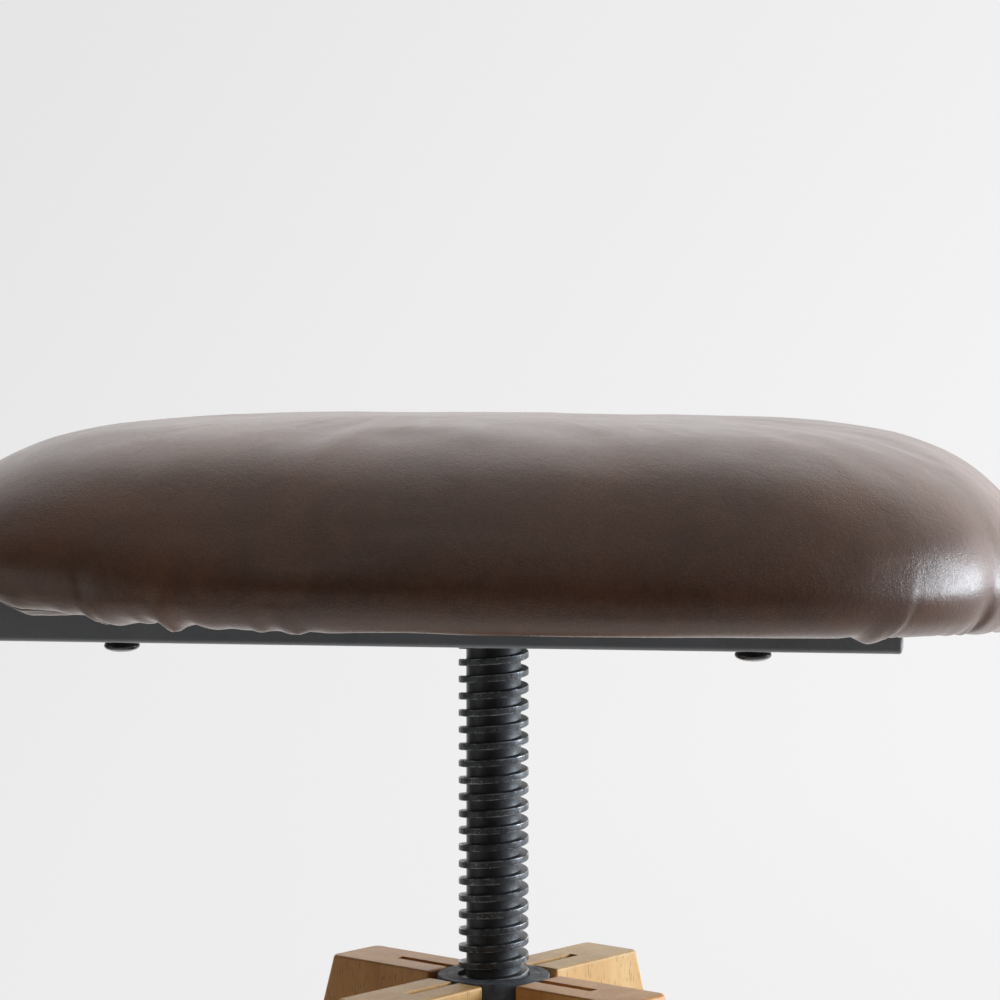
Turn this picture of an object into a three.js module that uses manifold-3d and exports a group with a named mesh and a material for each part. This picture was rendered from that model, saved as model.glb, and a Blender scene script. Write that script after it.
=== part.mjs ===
// An adjustable swivel stool. A padded square seat stands on a coarse square-thread screw, which turns in
// a nut at the top of a steel hub tube. Four tapered plank legs are slotted over fins on the tube, and a
// round footrest ring ties them together lower down. Turning the seat winds it up or down.
// Millimetres, +Z up. The origin is on the floor, on the screw's axis. The legs stand on the diagonals.

import * as THREE from "three";
import { mergeVertices } from "three/addons/utils/BufferGeometryUtils.js";
import Module from "manifold-3d";

const wasm = await Module();
wasm.setup();

// ---------------------------------------------------------------- driving dimensions

const GAP = 0.3; // between touching pieces
const HOLE_ROOM = 0.55; // radius of a bolt hole over the radius of its bolt
const OVERCUT = 1; // how far a cutting tool reaches past the material
const OVERLAP = 1; // how far two joined shapes reach into each other
const ROUND = 24; // sides of a large round piece
const SMALL_ROUND = 10; // sides of a bolt, a nut's bore or a hole

// Heights of the base
const HUB_TOP = 430;
const HUB_LENGTH = 200;
const FOOT_BOTTOM = 6;

// Hub tube and the nut in its top
const TUBE_RADIUS = 20;
const TUBE_BORE_RADIUS = 17.2;
const NUT_RADIUS = 16.7;
const NUT_HEIGHT = 36;
const HUB_CAP = { chamfer: 1, below: 2.5, floor: 1, rim: 8, wall: 2.5 };

// Square right-hand thread
const PITCH = 6;
const THREAD_SIDES = 12; // steps in one turn
const SCREW_CREST_RADIUS = 12.5;
const SCREW_CORE_RADIUS = 9.75;
const SCREW_RIDGE = 2.4;
const THREAD_SIDE_PLAY = 0.6;
const THREAD_PLAY = 0.3; // between a flat of one helix and a corner of the other

// Legs and the fins in their slots
const LEG_THICKNESS = 25;
const LEG_INNER = 20.4;
const LEG_TOP_OUTER = 68.5;
const LEG_SPLAY = THREE.MathUtils.degToRad(17.5);
const LEG_FOOT_WIDTH = 44;
const LEG_STRAIGHT = 95; // height of the inner edge that lies along the tube
const LEG_EDGE = 1.2; // chamfer
const SLOT_END = 46;
const SLOT_WIDTH = 4;
const SLOT_BELOW_FIN = 3;
const FIN_THICKNESS = 3;
const FIN_BELOW_TOP = 4;
const FIN_HEIGHT = 96;
const FIN_SHORT = 1; // from its outer edge to the slot's end
const LEG_BOLT_FROM_AXIS = 33;
const LEG_BOLT_HEIGHTS = [HUB_TOP - 26, HUB_TOP - 76];
const LEG_BOLT_RADIUS = 3;
const LEG_BOLT_PAST_LEG = 7;
const LEG_BOLT_HEAD = { radius: 5.5, height: 3.4, socket: 2.2 };
const LEG_NUT = { corner: 6, height: 5, top: 10.4 };
const LEG_NUT_DOME = { radius: 4.8, side: 7, shoulder: 3.6, shoulderHeight: 9.4 };
const GLIDE = { sole: 8.6, radius: 10, chamfer: 1.4, stem: 3, stemLength: 10, holeRoom: 0.5 };

// Footrest ring
const RING_HEIGHT = 135;
const RING_BAR_RADIUS = 6;
const RING_BAR_SIDES = 8;
const RING_STEPS = 40;
const TAB = { thickness: 3, width: 24, below: 9, above: 23, screw: 15 };
const TAB_SCREW_RADIUS = 2;
const TAB_SCREW_LENGTH = 18;
const TAB_SCREW_HEAD = { taper: 8, radius: 4, topRadius: 3.4, side: 1.6, height: 2.4 };

// Seat frame
const SEAT_TURN = THREE.MathUtils.degToRad(-14); // how far the seat is turned from the legs' frame
const RAIL_BOTTOM = 557.5;
const RAIL_SIZE = 16;
const RAIL_WALL = 1.5;
const RAIL_CORNER = { outer: 2, inner: 0.6, steps: 2 };
const RAIL_HALF_LENGTH = 147.5; // over the end plugs
const RAIL_FRONT = 125; // from the axis to a rail's outer face
const PLUG = { flange: 2, edge: 0.7, stub: 12 };
const PLATE = { width: 110, thickness: 5, hole: 9.5, boss: 19, bossHeight: 12 };
const RAIL_BOLT_X = 101.5;
const RAIL_BOLT_RADIUS = 3;
const RAIL_BOLT_HEAD = [[0, 3.2], [3.2, 2.9], [5.3, 1.7], [5.9, 0.6], [5.6, 0]]; // [radius, depth]
const TEE = { flange: 9.5, flangeHeight: 1.5, barrel: 4.2, pocketDepth: 2 };

// Seat pad: every outline is the same rounded square, drawn in by an inset
const SEAT_HALF = 183;
const SEAT_POWER = 3.6;
const OUTLINE_POINTS = 36;
const LEATHER = 1.2;
const BOARD_INSET = 15;
const BOARD_THICKNESS = 12;
const FLAP_INSET = 34;

// The leather's outer surface in section, as [inset, height above the board's underside], from the top's
// middle over the shoulder and round the lip to where the flap lies under the board
const PAD_TOP = 56;
const PAD_SECTION = [
  [150, PAD_TOP - 0.4],
  [112, PAD_TOP - 1.5],
  [82, PAD_TOP - 3.4],
  [58, PAD_TOP - 6.6],
  [39, PAD_TOP - 11.6],
  [23, PAD_TOP - 19.2],
  [11, PAD_TOP - 29],
  [3.5, PAD_TOP - 39.5],
  [0, PAD_TOP - 50],
  [1, PAD_TOP - 58],
  [4, PAD_TOP - 62.8],
  [8, PAD_TOP - 64.8],
  [12, PAD_TOP - 64.4],
  [14.6, PAD_TOP - 61.5],
];
const LIP_TURN = { outer: 0.8, inner: 0.5 }; // where the lip's inner side meets the flap

// Guide bush on the lower end of the screw
const SCREW_TRAVEL_UP = 32;
const BUSH_LENGTH = 22;
const BUSH_CLEARANCE = 1; // under the nut when the seat is at its highest
const SPIGOT_RADIUS = 8;
const END_WASHER = { radius: 14, hole: 4.6, thickness: 2.5 };
const END_BOLT = { corner: 7.2, headHeight: 5.3, radius: 4, reach: 15, holeReach: 17 };

// ---------------------------------------------------------------- materials

const material = (color, roughness, metalness) =>
  new THREE.MeshStandardMaterial({ color, roughness, metalness });
const leather = () => material(0x3d2e27, 0.45, 0);
const foam = () => material(0xd9cfae, 0.9, 0);
const plywood = () => material(0xc8a877, 0.7, 0);
const cloth = () => material(0x1b1b1c, 0.95, 0);
const paintedSteel = () => material(0x2f3335, 0.45, 0.6);
const blackSteel = () => material(0x26292b, 0.4, 0.85);
const zincSteel = () => material(0x8d9093, 0.4, 0.9);
const oak = () => material(0xc79a5f, 0.6, 0);
const blackPlastic = () => material(0x18191a, 0.6, 0);
const nylon = () => material(0xd8d4c8, 0.5, 0);

// ---------------------------------------------------------------- solids

function merged(geometry) {
  const bare = new THREE.BufferGeometry();
  bare.setAttribute("position", geometry.getAttribute("position"));
  bare.setIndex(geometry.index);
  return mergeVertices(bare, 1e-4);
}

function solid(geometry) {
  const closed = merged(geometry);
  return new wasm.Manifold(
    new wasm.Mesh({
      numProp: 3,
      vertProperties: new Float32Array(closed.attributes.position.array),
      triVerts: new Uint32Array(closed.index.array),
    }),
  );
}

function geometryOf(made) {
  const { vertProperties, triVerts } = made.getMesh();
  const geometry = new THREE.BufferGeometry();
  geometry.setAttribute("position", new THREE.BufferAttribute(new Float32Array(vertProperties), 3));
  geometry.setIndex(new THREE.BufferAttribute(new Uint32Array(triVerts), 1));
  return geometry;
}

function cut(body, ...tools) {
  return geometryOf(tools.reduce((left, tool) => left.subtract(solid(tool)), solid(body)));
}

function join(first, ...others) {
  return geometryOf(others.reduce((made, other) => made.add(solid(other)), solid(first)));
}

function box(x0, x1, y0, y1, z0, z1) {
  return new THREE.BoxGeometry(x1 - x0, y1 - y0, z1 - z0).translate(
    (x0 + x1) / 2,
    (y0 + y1) / 2,
    (z0 + z1) / 2,
  );
}

function cylinder(radius, z0, z1, sides = SMALL_ROUND) {
  return new THREE.CylinderGeometry(radius, radius, z1 - z0, sides)
    .rotateX(Math.PI / 2)
    .translate(0, 0, (z0 + z1) / 2);
}

// A solid turned about Z. The profile is a list of [radius, height] from the axis at the bottom to the top.
function turned(profile, sides = SMALL_ROUND) {
  const points = profile.map(([radius, height]) => new THREE.Vector2(radius, height));
  return new THREE.LatheGeometry(points, sides).rotateX(Math.PI / 2);
}

function ringSolid(outer, inner, z0, z1, sides = ROUND) {
  return cut(cylinder(outer, z0, z1, sides), cylinder(inner, z0 - OVERCUT, z1 + OVERCUT, sides));
}

// Closes a stack of rings, each a list of points that turn anticlockwise seen from above, into one surface.
// The stack runs from the point `first` to the point `last`.
function skin(rings, first, last) {
  const count = rings[0].length;
  const positions = [...first, ...rings.flat(2), ...last];
  const lastIndex = positions.length / 3 - 1;
  const at = (ring, k) => 1 + ring * count + (k % count);
  const faces = [];
  for (let k = 0; k < count; k++) {
    faces.push(0, at(0, k), at(0, k + 1));
    for (let r = 0; r + 1 < rings.length; r++) {
      faces.push(at(r, k), at(r + 1, k), at(r + 1, k + 1));
      faces.push(at(r, k), at(r + 1, k + 1), at(r, k + 1));
    }
    faces.push(lastIndex, at(rings.length - 1, k + 1), at(rings.length - 1, k));
  }
  const geometry = new THREE.BufferGeometry();
  geometry.setAttribute("position", new THREE.Float32BufferAttribute(positions, 3));
  geometry.setIndex(faces);
  return geometry;
}

// ---------------------------------------------------------------- the thread

// A rod with one square right-hand ridge. The ridge's middle passes height `start` at angle 0, and the rod
// ends half a pitch beyond the ridge's ends.
function threadedRod(core, crest, ridge, start, turns) {
  const steps = turns * THREAD_SIDES;
  const bottom = start - PITCH / 2;
  const top = start + (turns + 0.5) * PITCH;
  const positions = [];
  const faces = [];
  const put = (radius, step, z) => {
    const angle = (2 * Math.PI * step) / THREAD_SIDES;
    positions.push(radius * Math.cos(angle), radius * Math.sin(angle), z);
    return positions.length / 3 - 1;
  };
  const quad = (a, b, c, d) => faces.push(a, b, c, a, c, d);
  const rootLow = [];
  const crestLow = [];
  const crestHigh = [];
  const rootHigh = [];
  for (let i = 0; i <= steps; i++) {
    const z = start + (PITCH * i) / THREAD_SIDES;
    rootLow.push(put(core, i, z - ridge / 2));
    crestLow.push(put(crest, i, z - ridge / 2));
    crestHigh.push(put(crest, i, z + ridge / 2));
    rootHigh.push(put(core, i, z + ridge / 2));
  }
  const lowRim = [];
  const highRim = [];
  for (let k = 0; k < THREAD_SIDES; k++) {
    lowRim.push(put(core, k, bottom));
    highRim.push(put(core, k, top));
  }
  positions.push(0, 0, bottom, 0, 0, top);
  const lowCentre = positions.length / 3 - 2;
  const highCentre = positions.length / 3 - 1;

  for (let i = 0; i < steps; i++) {
    quad(rootLow[i], rootLow[i + 1], crestLow[i + 1], crestLow[i]);
    quad(crestLow[i], crestLow[i + 1], crestHigh[i + 1], crestHigh[i]);
    quad(crestHigh[i], crestHigh[i + 1], rootHigh[i + 1], rootHigh[i]);
    const above = i + THREAD_SIDES;
    if (above < steps) quad(rootHigh[i], rootHigh[i + 1], rootLow[above + 1], rootLow[above]);
  }
  // The ridge's two end faces
  quad(rootLow[0], crestLow[0], crestHigh[0], rootHigh[0]);
  quad(rootLow[steps], rootHigh[steps], crestHigh[steps], crestLow[steps]);

  // The core below the first turn and above the last one, and the two end discs
  const lastTurn = steps - THREAD_SIDES;
  for (let k = 0; k < THREAD_SIDES; k++) {
    const next = (k + 1) % THREAD_SIDES;
    faces.push(lowCentre, lowRim[next], lowRim[k]);
    faces.push(highCentre, highRim[k], highRim[next]);
    if (k > 0) quad(rootHigh[lastTurn + k], rootHigh[lastTurn + k + 1], highRim[next], highRim[k]);
    if (next > 0) quad(lowRim[k], lowRim[next], rootLow[k + 1], rootLow[k]);
  }
  const beforeLow = THREAD_SIDES - 1;
  faces.push(rootLow[beforeLow], lowRim[beforeLow], lowRim[0]);
  faces.push(rootLow[beforeLow], lowRim[0], rootLow[0]);
  faces.push(rootLow[beforeLow], rootLow[0], rootHigh[0]);
  faces.push(rootLow[beforeLow], rootHigh[0], rootLow[THREAD_SIDES]);
  faces.push(rootHigh[lastTurn + 1], highRim[1], highRim[0]);
  faces.push(rootHigh[lastTurn + 1], highRim[0], rootHigh[steps]);
  faces.push(rootHigh[lastTurn + 1], rootHigh[steps], rootLow[steps]);
  faces.push(rootHigh[lastTurn + 1], rootLow[steps], rootHigh[lastTurn]);

  const geometry = new THREE.BufferGeometry();
  geometry.setAttribute("position", new THREE.Float32BufferAttribute(positions, 3));
  geometry.setIndex(faces);
  return geometry;
}

// ---------------------------------------------------------------- the assembly

const stool = new THREE.Group();
const base = new THREE.Group();
const seat = new THREE.Group();
seat.rotation.z = SEAT_TURN;
stool.add(base, seat);

function add(parent, name, geometry, look) {
  const mesh = new THREE.Mesh(geometry, look);
  mesh.name = name;
  parent.add(mesh);
  return mesh;
}

// Heights on the axis, from the nut down
const NUT_BOTTOM = HUB_TOP - NUT_HEIGHT;
const BUSH_TOP = NUT_BOTTOM - SCREW_TRAVEL_UP - BUSH_CLEARANCE;
const BUSH_BOTTOM = BUSH_TOP - BUSH_LENGTH;
const THREAD_BOTTOM = BUSH_TOP + GAP;
const HUB_BOTTOM = HUB_TOP - HUB_LENGTH;

// Heights in the seat, from the rails up
const RAIL_TOP = RAIL_BOTTOM + RAIL_SIZE;
const CLOTH_BOTTOM = RAIL_TOP + GAP;
const CLOTH_TOP = CLOTH_BOTTOM + LEATHER;
const BOARD_BOTTOM = CLOTH_TOP + GAP;
const BOARD_TOP = BOARD_BOTTOM + BOARD_THICKNESS;
const BOSS_BOTTOM = RAIL_TOP - PLATE.thickness - PLATE.bossHeight;

// ---------------------------------------------------------------- hub

function buildHub() {
  add(base, "hub_tube", ringSolid(TUBE_RADIUS, TUBE_BORE_RADIUS, HUB_BOTTOM, HUB_TOP), blackSteel());

  const flat = Math.cos(Math.PI / THREAD_SIDES);
  const tap = threadedRod(
    (SCREW_CORE_RADIUS + THREAD_PLAY) / flat,
    (SCREW_CREST_RADIUS + THREAD_PLAY) / flat,
    SCREW_RIDGE + 2 * THREAD_SIDE_PLAY,
    threadHeightBelow(NUT_BOTTOM - PITCH),
    Math.ceil(NUT_HEIGHT / PITCH) + 3,
  ).rotateZ(SEAT_TURN);
  add(base, "screw_nut", cut(cylinder(NUT_RADIUS, NUT_BOTTOM, HUB_TOP, ROUND), tap), blackSteel());

  const { chamfer, below, floor, rim, wall } = HUB_CAP;
  const cap = turned(
    [
      [0, HUB_BOTTOM - below],
      [TUBE_RADIUS - chamfer, HUB_BOTTOM - below],
      [TUBE_RADIUS, HUB_BOTTOM - GAP],
      [NUT_RADIUS, HUB_BOTTOM - GAP],
      [NUT_RADIUS, HUB_BOTTOM + rim],
      [NUT_RADIUS - wall, HUB_BOTTOM + rim],
      [NUT_RADIUS - wall, HUB_BOTTOM + floor],
      [0, HUB_BOTTOM + floor],
    ],
    ROUND,
  );
  add(base, "hub_cap", cap, blackPlastic());
}

// The screw's ridge passes angle 0 at its lowest start height plus whole pitches. This gives the highest
// such height at or below z, so that the nut is cut in step with the screw.
function threadHeightBelow(z) {
  const first = THREAD_BOTTOM + PITCH / 2;
  return first + Math.floor((z - first) / PITCH) * PITCH;
}

// ---------------------------------------------------------------- legs

// All leg pieces are built in the leg's own frame: X outward from the axis, Y across its thickness.
function legOuter(z) {
  return LEG_TOP_OUTER + (HUB_TOP - z) * Math.tan(LEG_SPLAY);
}

const LEG_BEND = HUB_TOP - LEG_STRAIGHT;
const FOOT_OUTER = legOuter(FOOT_BOTTOM);
const FOOT_INNER = FOOT_OUTER - LEG_FOOT_WIDTH;
const FOOT_MIDDLE = (FOOT_OUTER + FOOT_INNER) / 2;
const INNER_SLOPE = Math.atan2(FOOT_INNER - LEG_INNER, LEG_BEND - FOOT_BOTTOM);

function legInner(z) {
  return LEG_INNER + (LEG_BEND - z) * Math.tan(INNER_SLOPE);
}

// A cylinder across the leg, at distance x and height z
function acrossLeg(radius, x, y0, y1, z, sides = SMALL_ROUND) {
  return cylinder(radius, y0, y1, sides)
    .rotateX(-Math.PI / 2)
    .translate(x, 0, z);
}

// Moves a piece built round the origin, with Z out of the leg's inner edge towards the axis and X up the
// edge, to its place on the inner edge at the ring's height.
function onInnerEdge(geometry) {
  return geometry.rotateY(-Math.PI / 2 - INNER_SLOPE).translate(legInner(RING_HEIGHT), 0, RING_HEIGHT);
}

function legPlank() {
  const side = new THREE.Shape([
    new THREE.Vector2(LEG_INNER, HUB_TOP),
    new THREE.Vector2(LEG_INNER, LEG_BEND),
    new THREE.Vector2(FOOT_INNER, FOOT_BOTTOM),
    new THREE.Vector2(FOOT_OUTER, FOOT_BOTTOM),
    new THREE.Vector2(LEG_TOP_OUTER, HUB_TOP),
  ]);
  const plank = new THREE.ExtrudeGeometry(side, {
    depth: LEG_THICKNESS - 2 * LEG_EDGE,
    bevelEnabled: true,
    bevelSize: LEG_EDGE,
    bevelOffset: -LEG_EDGE,
    bevelThickness: LEG_EDGE,
    bevelSegments: 1,
  })
    .translate(0, 0, LEG_EDGE - LEG_THICKNESS / 2)
    .rotateX(Math.PI / 2);
  const slotBottom = HUB_TOP - FIN_BELOW_TOP - FIN_HEIGHT - SLOT_BELOW_FIN;
  const slotHalf = SLOT_WIDTH / 2;
  const slot = box(0, SLOT_END, -slotHalf, slotHalf, slotBottom, HUB_TOP + OVERCUT);
  const boltHoles = LEG_BOLT_HEIGHTS.map((z) =>
    acrossLeg(LEG_BOLT_RADIUS + HOLE_ROOM, LEG_BOLT_FROM_AXIS, -LEG_THICKNESS, LEG_THICKNESS, z),
  );
  const screwHole = onInnerEdge(
    cylinder(TAB_SCREW_RADIUS + HOLE_ROOM, -TAB_SCREW_LENGTH - 1, OVERCUT).translate(TAB.screw, 0, 0),
  );
  const glideHole = cylinder(
    GLIDE.stem + GLIDE.holeRoom,
    FOOT_BOTTOM - OVERCUT,
    FOOT_BOTTOM + GLIDE.stemLength + 2,
  ).translate(FOOT_MIDDLE, 0, 0);
  return cut(plank, slot, ...boltHoles, screwHole, glideHole);
}

function legFin() {
  const top = HUB_TOP - FIN_BELOW_TOP;
  const half = FIN_THICKNESS / 2;
  const plate = box(TUBE_RADIUS + GAP, SLOT_END - FIN_SHORT, -half, half, top - FIN_HEIGHT, top);
  const holes = LEG_BOLT_HEIGHTS.map((z) =>
    acrossLeg(LEG_BOLT_RADIUS + HOLE_ROOM, LEG_BOLT_FROM_AXIS, -half - OVERCUT, half + OVERCUT, z),
  );
  return cut(plate, ...holes);
}

// A button-head bolt through the leg, with a hexagon socket in its head
function legBolt(z) {
  const { radius, height, socket } = LEG_BOLT_HEAD;
  const length = LEG_THICKNESS + LEG_BOLT_PAST_LEG;
  const body = turned([
    [0, -length],
    [LEG_BOLT_RADIUS, -length],
    [LEG_BOLT_RADIUS, 0],
    [radius, 0],
    [radius, height * 0.25],
    [radius * 0.7, height],
    [0, height],
  ]);
  return cut(body, cylinder(socket, height * 0.4, height + OVERCUT, 6))
    .translate(0, 0, LEG_THICKNESS / 2 + GAP)
    .rotateX(-Math.PI / 2)
    .translate(LEG_BOLT_FROM_AXIS, 0, z);
}

// A domed cap nut on the end of a leg bolt
function legNut(z) {
  const hex = cylinder(LEG_NUT.corner, 0, LEG_NUT.height, 6);
  const dome = turned([
    [0, LEG_NUT.height - OVERLAP],
    [LEG_NUT_DOME.radius, LEG_NUT.height - OVERLAP],
    [LEG_NUT_DOME.radius, LEG_NUT_DOME.side],
    [LEG_NUT_DOME.shoulder, LEG_NUT_DOME.shoulderHeight],
    [0, LEG_NUT.top],
  ]);
  const pocket = cylinder(LEG_BOLT_RADIUS + HOLE_ROOM, -OVERCUT, LEG_BOLT_PAST_LEG + 1);
  return cut(join(hex, dome), pocket)
    .rotateX(Math.PI / 2)
    .translate(LEG_BOLT_FROM_AXIS, -LEG_THICKNESS / 2 - GAP, z);
}

function footGlide() {
  return turned([
    [0, 0],
    [GLIDE.sole, 0],
    [GLIDE.radius, GLIDE.chamfer],
    [GLIDE.radius, FOOT_BOTTOM - GAP],
    [GLIDE.stem, FOOT_BOTTOM - GAP],
    [GLIDE.stem, FOOT_BOTTOM + GLIDE.stemLength],
    [0, FOOT_BOTTOM + GLIDE.stemLength],
  ]).translate(FOOT_MIDDLE, 0, 0);
}

function ringScrew() {
  const underHead = GAP + TAB.thickness + GAP;
  const body = turned([
    [0, -TAB_SCREW_LENGTH],
    [TAB_SCREW_RADIUS, underHead - TAB_SCREW_HEAD.taper],
    [TAB_SCREW_RADIUS, underHead],
    [TAB_SCREW_HEAD.radius, underHead],
    [TAB_SCREW_HEAD.topRadius, underHead + TAB_SCREW_HEAD.side],
    [0, underHead + TAB_SCREW_HEAD.height],
  ]);
  return onInnerEdge(body.translate(TAB.screw, 0, 0));
}

function footrestRing() {
  const tabFace = legInner(RING_HEIGHT) - (GAP + TAB.thickness) / Math.cos(INNER_SLOPE);
  const radius = tabFace + OVERLAP - RING_BAR_RADIUS;
  const bar = new THREE.TorusGeometry(radius, RING_BAR_RADIUS, RING_BAR_SIDES, RING_STEPS);
  bar.translate(0, 0, RING_HEIGHT);
  const tabs = [];
  for (let leg = 0; leg < 4; leg++) {
    const { thickness, width, below, above, screw } = TAB;
    const plate = cut(
      box(-below, above, -width / 2, width / 2, GAP, GAP + thickness),
      cylinder(TAB_SCREW_RADIUS + HOLE_ROOM, 0, GAP + thickness + OVERCUT).translate(screw, 0, 0),
    );
    tabs.push(onInnerEdge(plate).rotateZ(legAngle(leg)));
  }
  return join(bar, ...tabs);
}

function legAngle(leg) {
  return Math.PI / 4 + (leg * Math.PI) / 2;
}

function buildLegs() {
  for (let leg = 0; leg < 4; leg++) {
    const group = new THREE.Group();
    group.rotation.z = legAngle(leg);
    base.add(group);
    const number = leg + 1;
    add(group, `leg_${number}`, legPlank(), oak());
    add(group, `hub_fin_${number}`, legFin(), blackSteel());
    add(group, `foot_glide_${number}`, footGlide(), nylon());
    add(group, `ring_screw_${number}`, ringScrew(), blackSteel());
    LEG_BOLT_HEIGHTS.forEach((z, i) => {
      const place = ["upper", "lower"][i];
      add(group, `leg_bolt_${place}_${number}`, legBolt(z), blackSteel());
      add(group, `leg_nut_${place}_${number}`, legNut(z), blackSteel());
    });
  }
  add(base, "footrest_ring", footrestRing(), paintedSteel());
}

// ---------------------------------------------------------------- screw and guide

function buildScrew() {
  const turns = Math.floor((BOSS_BOTTOM - GAP - THREAD_BOTTOM) / PITCH) - 1;
  const rod = threadedRod(
    SCREW_CORE_RADIUS,
    SCREW_CREST_RADIUS,
    SCREW_RIDGE,
    THREAD_BOTTOM + PITCH / 2,
    turns,
  );
  const rodTop = THREAD_BOTTOM + (turns + 1) * PITCH;
  const neck = cylinder(PLATE.hole - HOLE_ROOM, rodTop - OVERLAP, RAIL_TOP - GAP, ROUND);
  const spigotEnd = BUSH_BOTTOM + GAP;
  const spigot = cylinder(SPIGOT_RADIUS, spigotEnd, THREAD_BOTTOM + OVERLAP, ROUND);
  const boltHole = cylinder(
    END_BOLT.radius + HOLE_ROOM,
    spigotEnd - OVERCUT,
    spigotEnd + END_BOLT.holeReach,
  );
  const body = solid(rod).add(solid(neck)).add(solid(spigot));
  add(seat, "screw", geometryOf(body.subtract(solid(boltHole))), blackSteel());

  const washerTop = BUSH_BOTTOM - GAP;
  const washerBottom = washerTop - END_WASHER.thickness;
  const washer = ringSolid(END_WASHER.radius, END_WASHER.hole, washerBottom, washerTop);
  add(seat, "end_washer", washer, zincSteel());
  const headTop = washerBottom - GAP;
  const head = cylinder(END_BOLT.corner, headTop - END_BOLT.headHeight, headTop, 6);
  const shank = cylinder(END_BOLT.radius, headTop - OVERLAP, spigotEnd + END_BOLT.reach);
  add(seat, "end_bolt", join(head, shank), zincSteel());

  const bush = ringSolid(NUT_RADIUS, SPIGOT_RADIUS + HOLE_ROOM, BUSH_BOTTOM, BUSH_TOP);
  add(stool, "guide_bush", bush, nylon());
}

// ---------------------------------------------------------------- seat frame

function roundedSquare(half, radius) {
  const shape = new THREE.Shape();
  const inner = half - radius;
  for (let corner = 0; corner < 4; corner++) {
    const from = (corner * Math.PI) / 2;
    const middle = from + Math.PI / 4;
    const x = Math.SQRT2 * inner * Math.cos(middle);
    const y = Math.SQRT2 * inner * Math.sin(middle);
    shape.absarc(x, y, radius, from, from + Math.PI / 2, false);
  }
  return shape;
}

// A rail along X, centred on the origin
function railTube() {
  const half = RAIL_HALF_LENGTH - PLUG.flange - GAP;
  const section = roundedSquare(RAIL_SIZE / 2, RAIL_CORNER.outer);
  section.holes.push(roundedSquare(RAIL_SIZE / 2 - RAIL_WALL, RAIL_CORNER.inner));
  const tube = new THREE.ExtrudeGeometry(section, {
    depth: 2 * half,
    bevelEnabled: false,
    curveSegments: RAIL_CORNER.steps,
  })
    .translate(0, 0, -half)
    .rotateY(Math.PI / 2);
  const holes = [-RAIL_BOLT_X, RAIL_BOLT_X].map((x) =>
    cylinder(RAIL_BOLT_RADIUS + HOLE_ROOM, -RAIL_SIZE, RAIL_SIZE).translate(x, 0, 0),
  );
  return cut(tube, ...holes);
}

// A plug in the +X end of a rail centred on the origin
function railPlug() {
  const { flange: thickness, edge, stub } = PLUG;
  const start = RAIL_HALF_LENGTH - thickness;
  const flange = new THREE.ExtrudeGeometry(roundedSquare(RAIL_SIZE / 2, RAIL_CORNER.outer), {
    depth: thickness - edge,
    bevelEnabled: true,
    bevelSize: edge,
    bevelOffset: -edge,
    bevelThickness: edge,
    bevelSegments: 1,
    curveSegments: RAIL_CORNER.steps,
  })
    .rotateY(Math.PI / 2)
    .translate(start, 0, 0);
  const trimmed = cut(flange, box(0, start, -RAIL_SIZE, RAIL_SIZE, -RAIL_SIZE, RAIL_SIZE));
  const half = RAIL_SIZE / 2 - RAIL_WALL - GAP;
  return join(trimmed, box(start - stub, start + thickness / 2, -half, half, -half, half));
}

function buildSeatFrame() {
  const middle = RAIL_FRONT - RAIL_SIZE / 2;
  const height = RAIL_BOTTOM + RAIL_SIZE / 2;
  const places = [
    ["front", -middle],
    ["rear", middle],
  ];
  for (const [place, y] of places) {
    const group = new THREE.Group();
    group.position.set(0, y, height);
    seat.add(group);
    add(group, `${place}_rail`, railTube(), paintedSteel());
    add(group, `${place}_rail_plug_right`, railPlug(), blackPlastic());
    add(group, `${place}_rail_plug_left`, railPlug(), blackPlastic()).rotation.z = Math.PI;
    for (const [side, x] of [
      ["left", -RAIL_BOLT_X],
      ["right", RAIL_BOLT_X],
    ]) {
      add(seat, `rail_bolt_${place}_${side}`, railBolt(), blackSteel()).position.set(x, y, 0);
      add(seat, `tee_nut_${place}_${side}`, teeNut(), zincSteel()).position.set(x, y, 0);
    }
  }
  const halfWidth = PLATE.width / 2;
  const halfDepth = RAIL_FRONT - RAIL_SIZE - GAP;
  const plateBottom = RAIL_TOP - PLATE.thickness;
  const plate = join(
    box(-halfWidth, halfWidth, -halfDepth, halfDepth, plateBottom, RAIL_TOP),
    cylinder(PLATE.boss, BOSS_BOTTOM, plateBottom + OVERLAP, ROUND),
  );
  const hole = cylinder(PLATE.hole, BOSS_BOTTOM - OVERCUT, RAIL_TOP + OVERCUT, ROUND);
  add(seat, "mount_plate", cut(plate, hole), paintedSteel());
}

// A wide round-headed bolt, head down, up through a rail into the board
function railBolt() {
  const top = RAIL_BOTTOM - GAP;
  const end = BOARD_TOP - 1;
  return turned([
    ...RAIL_BOLT_HEAD.map(([radius, depth]) => [radius, top - depth]),
    [RAIL_BOLT_RADIUS, top],
    [RAIL_BOLT_RADIUS, end],
    [0, end],
  ]);
}

function teeNut() {
  const flangeBottom = BOARD_TOP - TEE.pocketDepth + GAP;
  const body = turned([
    [0, BOARD_BOTTOM + 1],
    [TEE.barrel, BOARD_BOTTOM + 1],
    [TEE.barrel, flangeBottom],
    [TEE.flange, flangeBottom],
    [TEE.flange, flangeBottom + TEE.flangeHeight],
    [0, flangeBottom + TEE.flangeHeight],
  ]);
  return cut(body, cylinder(RAIL_BOLT_RADIUS + HOLE_ROOM, BOARD_BOTTOM, BOARD_TOP + OVERCUT));
}

// ---------------------------------------------------------------- seat pad

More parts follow.
